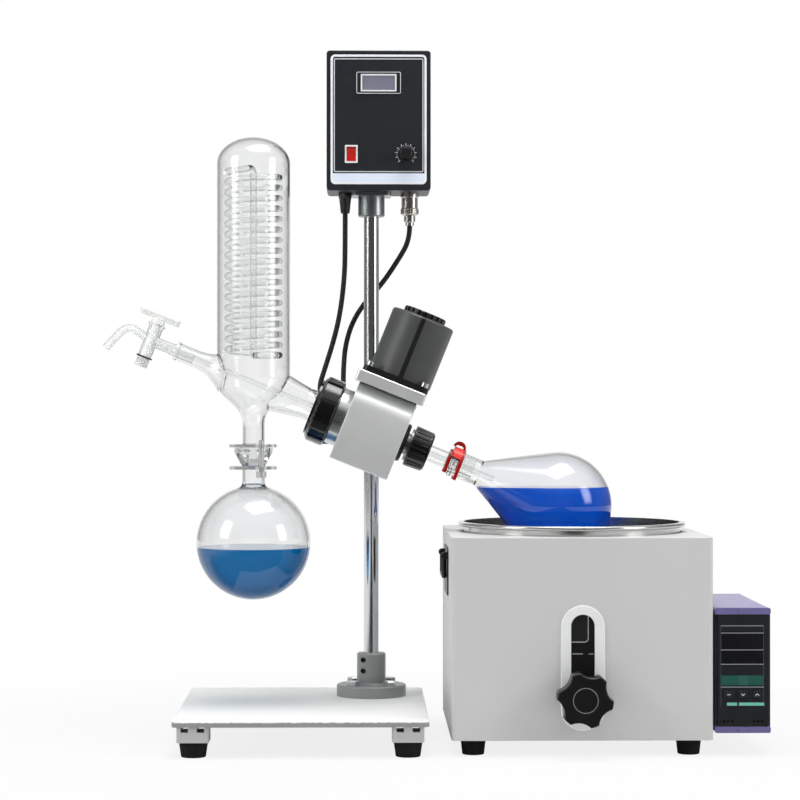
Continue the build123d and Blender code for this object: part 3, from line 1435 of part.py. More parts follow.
# Stopcock key with its T bar, and the nut on its foot
key_hub = barrel_end + 0.4
nut_top = -barrel_end - 0.4
nut_height = 11.5
with BuildPart() as stopcock_key:
    extrude(disc(deck_plane(-barrel_end - nut_height + 1, stopcock_along), 6.0), amount=nut_height)
    extrude(disc(deck_plane(-barrel_end, stopcock_along), key_dia), amount=barrel_length + 1)
    extrude(disc(deck_plane(key_hub, stopcock_along), barrel_dia), amount=7.0, taper=12)
    with BuildSketch(deck_plane(key_hub + 5.0, stopcock_along)):
        SlotOverall(key_bar, 9.0)
    extrude(amount=8.0)
    fillet(stopcock_key.faces().sort_by(Axis(pivot, across))[-1].edges(), 2.0)
    extrude(disc(ring_plane(stopcock_along), 3.0), amount=key_dia, both=True, mode=Mode.SUBTRACT)
    extrude(disc(deck_plane(nut_top - nut_height, stopcock_along), 15.0, 6.0 + 2 * slide_fit), amount=nut_height)
    with BuildSketch(deck_plane(nut_top - nut_height, stopcock_along)):
        with PolarLocations(7.5, 16):
            Circle(0.7)
    extrude(amount=nut_height - 2, mode=Mode.SUBTRACT)

# Feed tube through the spindle into the flask
feed_start = stopcock_along + key_bore / 2 + 0.5
with BuildPart() as feed_tube:
    extrude(disc(ring_plane(feed_start), feed_tube_dia, feed_tube_dia - 2.0), amount=feed_tube_end - feed_start)

# Receiver flask with its ball joint cup
receiver_radius = receiver_dia / 2
receiver_plane = condenser_plane
cup_inside = ball_dia / 2 + seat_gap
with BuildPart() as receiver_flask:
    neck = receiver_neck_dia / 2
    shoulder = receiver_height + (receiver_radius**2 - (neck + 6) ** 2) ** 0.5
    with BuildSketch(receiver_plane):
        with BuildLine():
            Polyline(
                (0, cup_top), (cup_dia / 2, cup_top), (cup_dia / 2, cup_top - 4), (neck + 3, cup_bottom + 2),
                (neck, cup_bottom - 2), (neck, shoulder + 7),
            )
            Bezier(
                (neck, shoulder + 7), (neck, shoulder + 2.5), (neck + 3, shoulder + 0.8), (neck + 6, shoulder)
            )
            ThreePointArc(
                (neck + 6, shoulder), (receiver_radius, receiver_height),
                (0, receiver_height - receiver_radius),
            )
            Line((0, receiver_height - receiver_radius), (0, cup_top))
        make_face()
    revolve(axis=condenser_axis)
    inside = receiver_radius - glass_wall
    bore = neck - glass_wall
    bore_meet = receiver_height + (inside**2 - bore**2) ** 0.5
    with BuildSketch(receiver_plane):
        with BuildLine():
            Polyline((0, cup_bottom), (bore, cup_bottom), (bore, bore_meet))
            ThreePointArc((bore, bore_meet), (inside, receiver_height), (0, receiver_height - inside))
            Line((0, receiver_height - inside), (0, cup_bottom))
        make_face()
    revolve(axis=condenser_axis, mode=Mode.SUBTRACT)
    with BuildSketch(receiver_plane):
        with BuildLine():
            cup_low = ball_height - (cup_inside**2 - bore**2) ** 0.5
            Polyline((0, cup_low - 2), (bore, cup_low - 2), (bore, cup_low))
            RadiusArc((bore, cup_low), (cup_inside, ball_height), -cup_inside)
            Polyline((cup_inside, ball_height), (cup_inside, cup_top + 1), (0, cup_top + 1), (0, cup_low - 2))
        make_face()
    revolve(axis=condenser_axis, mode=Mode.SUBTRACT)

# Fork clamp over the ball joint: two plates and their screw
upper_fork = cup_top + 0.8
lower_fork = cup_bottom - 2.4 - fork_thick
post_x = 10.0
post_y = -fork_depth / 2 + 1.0
with BuildPart() as receiver_clamp:
    for level, hold in ((upper_fork, 2 * (ball_dia / 2 - 1.2)), (lower_fork, receiver_neck_dia + 2 * seat_gap)):
        with BuildSketch(Plane((condenser_x, pivot.Y, level))):
            RectangleRounded(fork_width, fork_depth, 8.0)
            Circle(hold / 2, mode=Mode.SUBTRACT)
            with Locations((0, fork_depth / 2)):
                Rectangle(hold, fork_depth, mode=Mode.SUBTRACT)
        extrude(amount=fork_thick)
    with BuildSketch(Plane((condenser_x, pivot.Y, lower_fork - 9))):
        with Locations((post_x, post_y - 4)):
            Circle(fork_post_dia / 2)
    extrude(amount=upper_fork + fork_thick + 5 - lower_fork + 9)
    with BuildSketch(Plane((condenser_x, pivot.Y, lower_fork - 9))):
        with Locations((post_x, post_y - 4)):
            Circle(fork_post_dia)
    extrude(amount=7.0)
    for level in (upper_fork, lower_fork):
        with BuildSketch(Plane((condenser_x, pivot.Y, level))):
            with Locations((post_x, post_y - 3)):
                RectangleRounded(14.0, 14.0, 5.0)
        extrude(amount=fork_thick)

# Leads from the control box to the lead box, as straight runs joined by arcs
left_route = [
    (gland_x, column_y, gland_bottom),
    (gland_x, column_y, 573.0),
    (gland_x - 0.7, column_y + 1.0, 536.0),
    (gland_x - 6.0, column_y + 2.5, 492.0),
    (gland_x - 14.0, column_y + 3.0, 459.0),
    (gland_x - 24.5, column_y + 2.5, 426.0),
    (gland_x - 31.5, column_y + 1.5, 404.0),
    (column_x - left_boot, column_y, 381.0),
    (column_x - left_boot, column_y, boot_z),
]
right_route = [
    (connector_x, connector_y, connector_bottom),
    (connector_x, connector_y, 580.0),
    (connector_x - 14.0, connector_y + 5.0, 556.0),
    (connector_x - 33.0, connector_y + 9.0, 528.0),
    (connector_x - 56.0, connector_y + 9.0, 503.0),
    (connector_x - 69.5, connector_y + 7.0, 479.5),
    (connector_x - 76.5, connector_y + 4.0, 454.0),
    (connector_x - 78.5, connector_y + 1.0, 430.0),
    (connector_x - 79.0, connector_y - 2.0, 404.0),
    (column_x - right_boot, column_y, 384.0),
    (column_x - right_boot, column_y, boot_z),
]


def arc_radii(route):
    """Largest even arc at each corner of a lead's route."""
    points = [Vector(*p) for p in route]
    radii = []
    for before, corner, after in zip(points, points[1:], points[2:]):
        turn = (corner - before).get_angle(after - corner)
        shorter = min((corner - before).length, (after - corner).length)
        radii.append(0.45 * shorter / tan(radians(turn / 2)))
    return radii


def lead(route):
    """Plain round lead along its route."""
    radii = arc_radii(route)
    with BuildPart() as tube:
        with BuildLine() as path:
            FilletPolyline(*route, radius=radii)
        with BuildSketch(Plane(origin=path.line @ 0, z_dir=path.line % 0)):
            Circle(lead_dia / 2)
        sweep()
    print("lead", [round(r) for r in radii], round(sum(edge.length for edge in path.edges()), 1))
    return tube


left_lead = lead(left_route)
right_lead = lead(right_route)

# Write every piece
pieces = {
    "base_plate": base_plate, "foot_blocks": foot_blocks, "base_feet": base_feet,
    "column_flange": column_flange, "flange_bolts": flange_bolts, "column": column,
    "box_socket": box_socket, "control_box": control_box, "control_panel": control_panel,
    "speed_display": speed_display, "switch_frame": switch_frame, "power_rocker": power_rocker,
    "speed_knob": speed_knob, "cable_gland": cable_gland, "lead_connector": lead_connector,
    "left_lead": left_lead, "right_lead": right_lead, "bath_case": bath_case, "bath_top": bath_top,
    "bath_feet": bath_feet, "slot_trim": slot_trim, "bath_pot": bath_pot, "pot_carrier": pot_carrier,
    "heater": heater, "bath_knob": bath_knob, "handle_plate": handle_plate, "handle_bail": handle_bail,
    "controller_bracket": controller_bracket, "controller_case": controller_case,
    "controller_face": controller_face, "key_set": key_set, "key_down": key_down, "key_up": key_up,
    "clamp_bush": clamp_bush, "column_clamp": column_clamp, "tilt_lever": tilt_lever,
    "height_lever": height_lever, "head_housing": head_housing, "motor_plate": motor_plate,
    "motor_body": motor_body, "motor_cap": motor_cap, "motor_shaft": motor_shaft,
    "drive_gear": drive_gear, "spindle_bearings": spindle_bearings, "rear_collar": rear_collar,
    "vacuum_seal": vacuum_seal, "front_cap": front_cap, "spindle": spindle, "flask_nut": flask_nut,
    "vapour_tube": vapour_tube, "evaporating_flask": evaporating_flask, "joint_clip": joint_clip,
    "condenser_nut": condenser_nut, "condenser_body": condenser_body, "condenser_coil": condenser_coil,
    "stopcock_body": stopcock_body, "stopcock_key": stopcock_key, "feed_tube": feed_tube,
    "receiver_flask": receiver_flask, "receiver_clamp": receiver_clamp,
}
os.makedirs("parts", exist_ok=True)
for name, piece in pieces.items():
    piece.part.label = name
    export_step(piece.part, f"parts/{name}.step")
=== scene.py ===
from math import atan, cos, pi, radians, sin, tan

import bpy
from mathutils import Matrix, Vector


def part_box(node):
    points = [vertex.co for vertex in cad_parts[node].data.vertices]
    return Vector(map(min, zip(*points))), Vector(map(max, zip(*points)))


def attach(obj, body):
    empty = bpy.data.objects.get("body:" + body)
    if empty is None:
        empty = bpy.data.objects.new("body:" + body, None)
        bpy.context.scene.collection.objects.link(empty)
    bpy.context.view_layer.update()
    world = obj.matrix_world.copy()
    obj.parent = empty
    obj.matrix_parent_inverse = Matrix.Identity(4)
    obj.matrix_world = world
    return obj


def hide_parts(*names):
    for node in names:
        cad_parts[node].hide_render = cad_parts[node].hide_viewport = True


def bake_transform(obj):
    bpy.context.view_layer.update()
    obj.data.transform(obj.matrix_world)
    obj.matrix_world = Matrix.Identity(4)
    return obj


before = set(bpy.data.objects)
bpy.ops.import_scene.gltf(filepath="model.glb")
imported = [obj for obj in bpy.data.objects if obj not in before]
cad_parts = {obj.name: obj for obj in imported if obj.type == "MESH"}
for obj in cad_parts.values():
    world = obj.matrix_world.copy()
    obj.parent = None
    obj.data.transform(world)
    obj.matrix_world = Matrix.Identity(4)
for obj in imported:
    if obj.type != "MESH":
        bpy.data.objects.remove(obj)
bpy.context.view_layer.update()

# The rotary evaporator's own datums, in metres, as the solids have them
TILT = radians(22)
ALONG = Vector((cos(TILT), 0, -sin(TILT)))
ACROSS = Vector((sin(TILT), 0, cos(TILT)))
UP = Vector((0, 0, 1))
PIVOT = Vector((-0.0605, 0.004, 0.3547))
COLUMN = Vector((-0.062, 0.094, 0))
BOX_X = -0.0537
PANEL_Z = 0.718
DISPLAY_Z = 0.761
BATH = Vector((0.1675, 0.004, 0))
STAR_KNOB_Z = 0.065
SLOT_X, SLOT_Z = -0.0239, 0.1547
PANE_X = 0.343
KEYS_Z = 0.067


def on_head(u, w=0.0, v=0.0):
    """A point of the head in millimetres: u along the spindle, w towards the motor, v to the back."""
    return PIVOT + ALONG * u / 1000 + ACROSS * w / 1000 + Vector((0, v / 1000, 0))


def tone(red, green, blue):
    """A colour read off a screen, 0 to 255, as light."""
    def light(value):
        value /= 255
        return value / 12.92 if value <= 0.04045 else ((value + 0.055) / 1.055) ** 2.4
    return (light(red), light(green), light(blue), 1.0)


# Finishes
class Tap:
    """A socket of a finish's nodes that takes part in sums."""

    def __init__(self, board, socket):
        self.board = board
        self.socket = socket

    def maths(self, operation, *others):
        return self.board.node("ShaderNodeMath", {"operation": operation}, dict(enumerate((self, *others))))

    def __add__(self, other):
        return self.maths("ADD", other)

    __radd__ = __add__

    def __mul__(self, other):
        return self.maths("MULTIPLY", other)

    __rmul__ = __mul__

    def __sub__(self, other):
        return self.maths("SUBTRACT", other)

    def __rsub__(self, other):
        return self * -1 + other

    def __truediv__(self, other):
        return self * (1 / other)

    def __pow__(self, other):
        return self.maths("POWER", other)

    def __abs__(self):
        return self.maths("ABSOLUTE")

    def __lt__(self, other):
        return self.maths("LESS_THAN", other)

    def __gt__(self, other):
        return self.maths("GREATER_THAN", other)

    def high(self, other):
        return self.maths("MAXIMUM", other)

    def low(self, other):
        return self.maths("MINIMUM", other)

    def clamp(self):
        return self.high(0.0).low(1.0)


class Board:
    """A node tree that is built one node at a time."""

    def __init__(self, tree):
        self.tree = tree

    def node(self, kind, settings=None, inputs=None, output=0):
        made = self.tree.nodes.new(kind)
        for key, value in (settings or {}).items():
            setattr(made, key, value)
        for key, value in (inputs or {}).items():
            self.feed(made.inputs[key], value)
        return Tap(self, made.outputs[output])

    def feed(self, socket, value):
        if isinstance(value, Tap):
            self.tree.links.new(value.socket, socket)
        else:
            socket.default_value = value

    def mix(self, factor, first, second):
        """From the first colour to the second one by a factor."""
        return self.node("ShaderNodeMix", {"data_type": "RGBA"}, {0: factor, 6: first, 7: second}, 2)


class Finish(Board):
    """One material of the machine on Object coordinates."""

    def __init__(self, name, colour, rough, **fixed):
        self.material = bpy.data.materials.new(name)
        self.material.use_nodes = True
        super().__init__(self.material.node_tree)
        self.shader = self.tree.nodes["Principled BSDF"]
        self.set("Base Color", colour)
        self.set("Roughness", rough)
        for key, value in fixed.items():
            self.set(key.replace("_", " ").title().replace("Ior", "IOR"), value)

    def set(self, socket, value):
        self.feed(self.shader.inputs[socket], value)

    def surface(self, shader):
        self.feed(self.tree.nodes["Material Output"].inputs["Surface"], shader)

    def place(self, stretch, turn):
        """The spot on the piece for a pattern that is drawn out and turned."""
        spot = self.node("ShaderNodeTexCoord", output="Object")
        size = tuple(1 / s for s in stretch)
        fit = {"Vector": spot, "Rotation": turn, "Scale": size}
        return self.node("ShaderNodeMapping", {"vector_type": "TEXTURE"}, fit)

    def axes(self, origin=(0, 0, 0)):
        """The spot's distances from an origin, along the machine's three axes."""
        spot = self.node("ShaderNodeTexCoord", output="Object")
        split = self.node("ShaderNodeSeparateXYZ", None, {0: spot}).socket.node
        return [Tap(self, split.outputs[i]) - origin[i] for i in range(3)]

    def head_axes(self):
        """The spot's distances from the head's pivot: along the spindle, to the back, towards the motor."""
        x, y, z = self.axes(PIVOT)
        return x * cos(TILT) - z * sin(TILT), y, x * sin(TILT) + z * cos(TILT)

    def noise(self, scale, detail=3.0, stretch=(1, 1, 1), turn=(0, 0, 0), rough=0.55):
        spot = self.place(stretch, turn)
        fit = {"Vector": spot, "Scale": scale, "Detail": detail, "Roughness": rough}
        return self.node("ShaderNodeTexNoise", {"noise_dimensions": "3D"}, fit)

    def peel(self):
        """Height of sprayed paint's orange peel, fine over coarse."""
        return self.noise(900, 2) + self.noise(160, 2) * 0.6

    def worn(self, rough, scale, detail, spread):
        """Roughness that wanders round one level, as handling leaves it."""
        return rough + (self.noise(scale, detail) - 0.5) * spread

    def relief(self, height, strength, depth):
        bump = self.node("ShaderNodeBump", None, {"Strength": strength, "Distance": depth, "Height": height})
        self.set("Normal", bump)

    def shade(self, colour, spread, mask):
        """Let the colour drift from darker to lighter over a mask."""
        dark = tuple(c * (1 - spread) for c in colour[:3]) + (1,)
        pale = tuple(min(1, c * (1 + spread)) for c in colour[:3]) + (1,)
        self.set("Base Color", self.mix(mask, dark, pale))


def enamel(name, colour, rough=0.4, peel=0.25, drift=0.03, **fixed):
    """Sprayed paint: faint orange peel, a slow drift of tone, small rubbed spots."""
    made = Finish(name, colour, rough, **fixed)
    made.shade(colour, drift, made.noise(7, 2))
    made.set("Roughness", made.worn(rough, 60, 4, 0.16))
    made.relief(made.peel(), peel, 0.0004)
    return made.material


def grained(name, colour, rough=0.5, grain=2200, depth=0.35, drift=0.10, **fixed):
    """Moulded plastic or textured coat: spark-eroded grain and faint handling marks."""
    made = Finish(name, colour, rough, **fixed)
    made.shade(colour, drift, made.noise(25, 4))
    made.set("Roughness", made.worn(rough, 90, 5, 0.22))
    made.relief(made.noise(grain, 3), depth, 0.0003)
    return made.material


def metal(name, colour, rough, stretch=(1, 1, 1), turn=(0, 0, 0), scale=300, bite=0.1, bare=1.0):
    """Bare metal with tool marks drawn out along one way."""
    made = Finish(name, colour, rough, metallic=bare)
    lines = made.noise(scale, 4, stretch, turn, 0.7)
    made.shade(colour, 0.05, lines)
    made.set("Roughness", rough + (lines - 0.5) * 0.2 + (made.noise(14, 3) - 0.5) * 0.08)
    made.relief(lines, bite, 0.0002)
    return made.material


def housing_coat():
    """Satin enamel over a casting whose faces are slightly crowned from brow to foot."""
    colour = tone(224, 226, 225)
    made = Finish("housing_coat", colour, 0.38, metallic=0.4, coat_weight=0.35, coat_roughness=0.25)
    _, _, rise = made.head_axes()
    from_ridge = rise - 0.008
    brow, foot = from_ridge.high(0.0), from_ridge.low(0.0)
    crown = brow * brow * -5.0 - foot * foot * 2.2
    made.shade(colour, 0.03, made.noise(7, 2))
    made.set("Roughness", made.worn(0.38, 60, 4, 0.16))
    made.relief(crown + made.peel() * 0.00006, 1.0, 1.0)
    return made.material


def plate_coat():
    """White enamel on the base plate; its cut edge is painted darker grey as painted shade, with a painted
    highlight line under the top arris.
    """
    made = Finish("plate_coat", tone(242, 242, 241), 0.58)
    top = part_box("base_plate")[1][2]
    _, _, z = made.axes((0, 0, top))
    edge = z < -0.0005
    # A thin band just under the top arris, broken up by noise: a painted highlight line.
    arris_glint = abs(z + 0.0009) < 0.0005
    glint_breakup = (made.noise(120, 4, (1, 1, 0.2)) - 0.42) * 6
    face = made.mix(made.noise(7, 2), tone(239, 239, 238), tone(248, 248, 247))
    # The cut edge's sides: this darker grey is painted shade, not a colour of the enamel.
    side = made.mix(made.noise(40, 3), tone(142, 143, 143), tone(160, 161, 161))
    # Painted highlight: the pale line laid over the painted-shade side.
    side = made.mix(arris_glint * glint_breakup.clamp(), side, tone(226, 226, 226))
    made.set("Base Color", made.mix(edge, face, side))
    made.set("Roughness", made.worn(0.58, 60, 4, 0.16))
    made.relief(made.peel(), 0.2, 0.0004)
    return made.material


def clear(name, colour, rim, ior, rough=0.0, lit=(0.93, 0.95, 0.95, 1), through=1.0, edge=3, shine=0.35):
    """Glass or liquid whose tone is darkened where the wall is seen edge on, as painted shade, and that lets
    lamplight through.
    """
    made = Finish(name, colour, rough, transmission_weight=through, ior=ior, specular_ior_level=shine)
    grazing_shade = made.node("ShaderNodeLayerWeight", None, {"Blend": 0.5}, "Facing")
    # Painted shade: the colour goes to the darker rim colour where the surface is seen edge on.
    made.set("Base Color", made.mix(grazing_shade ** edge, colour, rim))
    made.relief(made.noise(28, 2), 0.03, 0.0006)
    shadow = made.node("ShaderNodeLightPath", output="Is Shadow Ray")
    passed = made.node("ShaderNodeBsdfTransparent", None, {0: lit})
    solid = Tap(made, made.shader.outputs[0])
    made.surface(made.node("ShaderNodeMixShader", None, {0: shadow, 1: solid, 2: passed}))
    return made.material


def rounded_edge(x, z, half_x, half_z, corner):
    """Signed distance to a rounded oblong's edge, below nought inside it."""
    past_x = abs(x) - (half_x - corner)
    past_z = abs(z) - (half_z - corner)
    out_x, out_z = past_x.high(0.0), past_z.high(0.0)
    return (out_x * out_x + out_z * out_z) ** 0.5 + past_x.high(past_z).low(0.0) - corner


def printed_panel():
    """Black panel with its white frame, thin inner line, pale band and dial ticks."""
    black = tone(27, 28, 33)
    made = Finish("printed_panel", black, 0.42)
    x, _, z = made.axes((BOX_X, 0, PANEL_Z))
    frame_edge = rounded_edge(x, z - 0.0002, 0.0562, 0.0759, 0.0055)
    frame_line = abs(frame_edge + 0.0013) < 0.0013
    band = (frame_edge < 0.0) * (z < -0.0630)
    gap = abs(z + 0.0624) < 0.0006
    inner = abs(rounded_edge(x, z - 0.005, 0.0519, 0.0660, 0.0015)) < 0.00055
    dial_x, dial_z = x - 0.032, z + 0.0405
    away = (dial_x * dial_x + dial_z * dial_z) ** 0.5
    angle = dial_x.maths("ARCTAN2", dial_z)
    step = radians(27)
    swing = abs((angle / step + 50.5).maths("FRACT") - 0.5)
    long_tick = (swing * step * away < 0.00035) * (abs(away - 0.0113) < 0.0016)
    half = abs((angle / (step / 2) + 50.5).maths("FRACT") - 0.5)
    short_tick = (half * (step / 2) * away < 0.00022) * (abs(away - 0.0104) < 0.0007)
    ticks = long_tick.high(short_tick) * (abs(angle) < radians(137))
    print_mask = frame_line.high(inner * 0.75).high(ticks * 0.8)
    ground = made.mix(made.noise(12, 3), tone(25, 27, 33), tone(36, 38, 45))
    banded = made.mix(band * (1 - gap), ground, tone(232, 240, 255))
    made.set("Base Color", made.mix(print_mask, banded, tone(244, 246, 250)))
    made.set("Roughness", made.worn(0.42, 70, 4, 0.15))
    made.relief(made.noise(1500, 3) + print_mask * 0.8, 0.15, 0.0003)
    return made.material


def display_glass():
    """Unlit display: grey glass in a white rim on a black surround with a thin line."""
    made = Finish("display_glass", tone(25, 25, 30), 0.25, coat_weight=0.3)
    x, _, z = made.axes((BOX_X, 0, DISPLAY_Z))
    edge = rounded_edge(x, z, 0.0209, 0.0102, 0.0006)
    rim = abs(edge + 0.0009) < 0.0009
    window = edge < -0.0018
    line = abs(rounded_edge(x, z, 0.0256, 0.0124, 0.0015)) < 0.0004
    haze = made.mix(made.noise(40, 3), tone(118, 118, 136), tone(134, 134, 150))
    black = made.mix(made.noise(30, 2), tone(22, 23, 27), tone(32, 33, 38))
    framed = made.mix(rim.high(line * 0.85), black, tone(236, 238, 240))
    made.set("Base Color", made.mix(window, framed, haze))
    made.set("Roughness", 0.35 - window * 0.2)
    return made.material


def controller_front():
    """Black face with its thin rules, green band and pale bar."""
    made = Finish("controller_front", tone(30, 31, 34), 0.3, coat_weight=0.2)
    x, _, z = made.axes((PANE_X - 0.0008, 0, 0))
    inside = abs(x) < 0.0234
    rules = abs(z - 0.1421) < 0.0004
    for height in (0.1343, 0.1158, 0.1002, 0.0752):
        rules = rules.high(abs(z - height) < 0.0004)
    rules = rules * inside
    side_line = (abs(abs(x) - 0.0234) < 0.00025) * (abs(z - 0.098) < 0.044)
    band = (abs(z - 0.0826) < 0.0053) * (abs(x + 0.0003) < 0.0232)
    cell = band * (abs(x - 0.0012) < 0.0052)
    bar = (abs(z - 0.0566) < 0.0017) * (abs(x - 0.0102) < 0.0138).high(abs(x + 0.0112) < 0.0055)
    window = (abs(z - 0.1180) < 0.0180) * inside
    ground = made.mix(made.noise(30, 3), tone(22, 24, 28), tone(33, 35, 40))
    shown = made.mix(window * 0.8, ground, tone(10, 11, 13))
    shown = made.mix(rules * 0.45, shown, tone(214, 218, 220))
    shown = made.mix(side_line * 0.25, shown, tone(150, 156, 160))
    shown = made.mix(band, shown, made.mix(cell * 0.5, tone(24, 86, 76), tone(52, 104, 96)))
    pale = made.mix(made.noise(90, 3), tone(96, 178, 160), tone(132, 212, 192))
    made.set("Base Color", made.mix(bar, shown, pale))
    made.set("Roughness", made.worn(0.34, 60, 4, 0.15) - window * 0.18)
    made.relief(made.noise(1800, 2), 0.08, 0.0002)
    return made.material


def controller_keys():
    """Dark keys with a plain pale dash, a down arrow and an up arrow."""
    made = Finish("controller_keys", tone(30, 32, 35), 0.4)
    pitch = 0.0155
    x, _, z = made.axes((PANE_X, 0, KEYS_Z))
    dash = (abs(x + pitch) < 0.0019) * (abs(z) < 0.0005)
    down = (abs(z - abs(x) * 0.9 + 0.0009) < 0.0006) * (abs(x) < 0.0021)
    right = abs(x - pitch)
    up = (abs(z + right * 0.9 - 0.0009) < 0.0006) * (right < 0.0021)
    ground = made.mix(made.noise(60, 3), tone(27, 29, 32), tone(40, 42, 46))
    made.set("Base Color", made.mix(dash.high(down).high(up) * 0.8, ground, tone(216, 220, 220)))
    made.set("Roughness", made.worn(0.4, 90, 4, 0.16))
    made.relief(made.noise(1700, 2), 0.12, 0.0002)
    return made.material


def controller_shell():
    """Dark case between lavender end caps."""
    made = Finish("controller_shell", tone(60, 56, 78), 0.45)
    _, y, z = made.axes()
    cap = (z > 0.1541).high(z < 0.0325)
    brow = cap * (y < -0.1290)
    grit = made.noise(40, 4)
    sides = made.mix(grit, tone(38, 36, 52), tone(52, 49, 68))
    tops = made.mix(grit, tone(148, 143, 176), tone(160, 155, 188))
    brows = made.mix(grit, tone(102, 96, 146), tone(114, 108, 160))
    made.set("Base Color", made.mix(brow, made.mix(cap, sides, tops), brows))
    made.set("Roughness", made.worn(0.45, 90, 5, 0.2))
    made.relief(made.noise(1600, 3), 0.25, 0.0003)
    return made.material


def motor_shell():
    """Dark satin can with a black seam down the front, on a black flange."""
    made = Finish("motor_shell", tone(66, 67, 68), 0.44)
    along, back, rise = made.head_axes()
    seam = (abs(along - 0.006) < 0.0027) * (back < 0.0)
    flange = rise < 0.0672
    black = seam.high(flange)
    grit = made.noise(30, 4)
    can = made.mix(grit, tone(60, 61, 62), tone(74, 75, 76))
    made.set("Base Color", made.mix(black, can, tone(12, 12, 13)))
    made.set("Roughness", made.worn(0.44, 80, 4, 0.14))
    made.relief(made.noise(1100, 2) - seam * 3.0, 0.12, 0.0003)
    return made.material


def slot_plate():
    """Black plate behind the slot with its pale outline and rule."""
    made = Finish("slot_plate", tone(14, 15, 15), 0.42)
    x, _, z = made.axes((BATH.x, 0, 0))
    edge = rounded_edge(x - SLOT_X, z - SLOT_Z, 0.03, 0.03, 0.004)
    outline = abs(edge) < 0.00045
    patch = edge < 0.0
    rule = (abs(z - 0.1118) < 0.0004) * (abs(x + 0.0055) < 0.0058).high(abs(x - 0.0091) < 0.0026)
    ground = made.mix(made.noise(30, 3), tone(9, 10, 10), tone(16, 17, 17))
    ground = made.mix(patch, ground, tone(28, 31, 29))
    made.set("Base Color", made.mix(outline.high(rule) * 0.85, ground, tone(206, 208, 206)))
    made.set("Roughness", made.worn(0.42, 80, 4, 0.16))
    made.relief(made.noise(1500, 3), 0.2, 0.0003)
    return made.material


def star_knob():
    """Black moulding with a thin grey ring let into its face."""
    made = Finish("star_knob", tone(16, 16, 17), 0.34)
    x, y, z = made.axes((BATH.x, 0, STAR_KNOB_Z))
    away = (x * x + z * z) ** 0.5
    ring = (abs(away - 0.0134) < 0.0005) * (y < -0.160)
    ground = made.mix(made.noise(40, 4), tone(12, 12, 13), tone(20, 20, 21))
    made.set("Base Color", made.mix(ring * 0.8, ground, tone(190, 191, 190)))
    made.set("Roughness", made.worn(0.34, 90, 4, 0.18))
    made.relief(made.noise(1600, 3), 0.18, 0.0003)
    return made.material


def cock_white():
    """White fluoropolymer key with a clearer nut at its foot."""
    made = Finish("cock_white", tone(240, 240, 238), 0.38, subsurface_weight=0.1)
    _, _, rise = made.head_axes()
    nut = rise < -0.0203
    white = made.mix(made.noise(60, 3), tone(234, 234, 232), tone(246, 246, 244))
    made.set("Base Color", made.mix(nut, white, tone(236, 238, 236)))
    made.set("Roughness", made.worn(0.38, 120, 4, 0.16) - nut * 0.14)
    made.relief(made.noise(700, 3), 0.08, 0.0003)
    return made.material


def clip_red():
    """Red moulding in one red, painted brighter on the top between its ends as painted light and darker on
    the ends and loop as painted shade.
    """
    made = Finish("clip_red", tone(206, 28, 20), 0.2, coat_weight=0.4, coat_roughness=0.08)
    along, _, rise = made.head_axes()
    between_jaws = (1 - (abs(along - 0.1003) - 0.0040) / 0.0015).clamp()
    below_loop = (1 - (rise - 0.0185) / 0.002).clamp()
    cloud = made.noise(260, 3)
    # One red in lit and shaded copies: the darker ends and loop are painted shade, the brighter top between
    # them painted light.
    shaded_jaws = made.mix(cloud, tone(146, 10, 6), tone(176, 18, 10))
    lit_saddle = made.mix(cloud, tone(224, 30, 20), tone(246, 58, 44))
    made.set("Base Color", made.mix(between_jaws * below_loop, shaded_jaws, lit_saddle))
    made.set("Roughness", made.worn(0.2, 120, 4, 0.14))
    made.relief(made.noise(700, 2), 0.06, 0.0003)
    return made.material


def rubber(name):
    """Dull black rubber with a little bloom."""
    colour = tone(17, 17, 18)
    made = Finish(name, colour, 0.66)
    made.shade(colour, 0.25, made.noise(60, 4))
    made.set("Roughness", made.worn(0.66, 200, 4, 0.25))
    made.relief(made.noise(1200, 3), 0.25, 0.0004)
    return made.material


white_coat = plate_coat()
block_coat = enamel("block_coat", tone(192, 193, 192), 0.4)
case_coat = housing_coat()
satin = {"metallic": 0.5, "coat_weight": 0.45, "coat_roughness": 0.22}
head_coat = enamel("head_coat", tone(222, 224, 223), 0.36, 0.12, **satin)
bath_coat = enamel("bath_coat", tone(208, 209, 208), 0.42)
cast_coat = grained("cast_coat", tone(150, 151, 150), 0.4, 500, 0.25, 0.1, metallic=0.2)
black_coat = grained("black_coat", tone(24, 25, 28), 0.45, 1500, 0.3)
black_mould = grained("black_mould", tone(20, 20, 21), 0.4, 1800, 0.25)
polish = {"coat_weight": 0.5, "coat_roughness": 0.06}
gloss_mould = grained("gloss_mould", tone(9, 9, 10), 0.16, 600, 0.05, **polish)
white_mould = grained("white_mould", tone(240, 241, 241), 0.35, 1500, 0.1, 0.03)
rocker_gloss = {"coat_weight": 0.4, "coat_roughness": 0.1}
red_mould = grained("red_mould", tone(204, 34, 28), 0.2, 900, 0.06, 0.12, **rocker_gloss)
clip_mould = clip_red()
column_steel = metal("column_steel", tone(216, 217, 219), 0.12, (1, 1, 0.03), scale=900, bite=0.03)
zinc_steel = metal("zinc_steel", tone(196, 198, 200), 0.3, scale=400)
black_steel = metal("black_steel", tone(58, 59, 61), 0.32, scale=400)
nickel_plate = metal("nickel_plate", tone(196, 192, 186), 0.22, (1, 1, 6), scale=200, bite=0.05)
pot_steel = metal("pot_steel", tone(206, 206, 205), 0.17, (0.3, 0.3, 12), scale=160, bite=0.03)
clamp_steel = metal("clamp_steel", tone(222, 223, 224), 0.2, scale=260, bite=0.02, bare=0.6)
lathed = {"stretch": (12, 0.25, 0.25), "turn": (0, TILT, 0), "bite": 0.04}
turned_metal = metal("turned_metal", tone(206, 208, 209), 0.24, scale=160, **lathed)
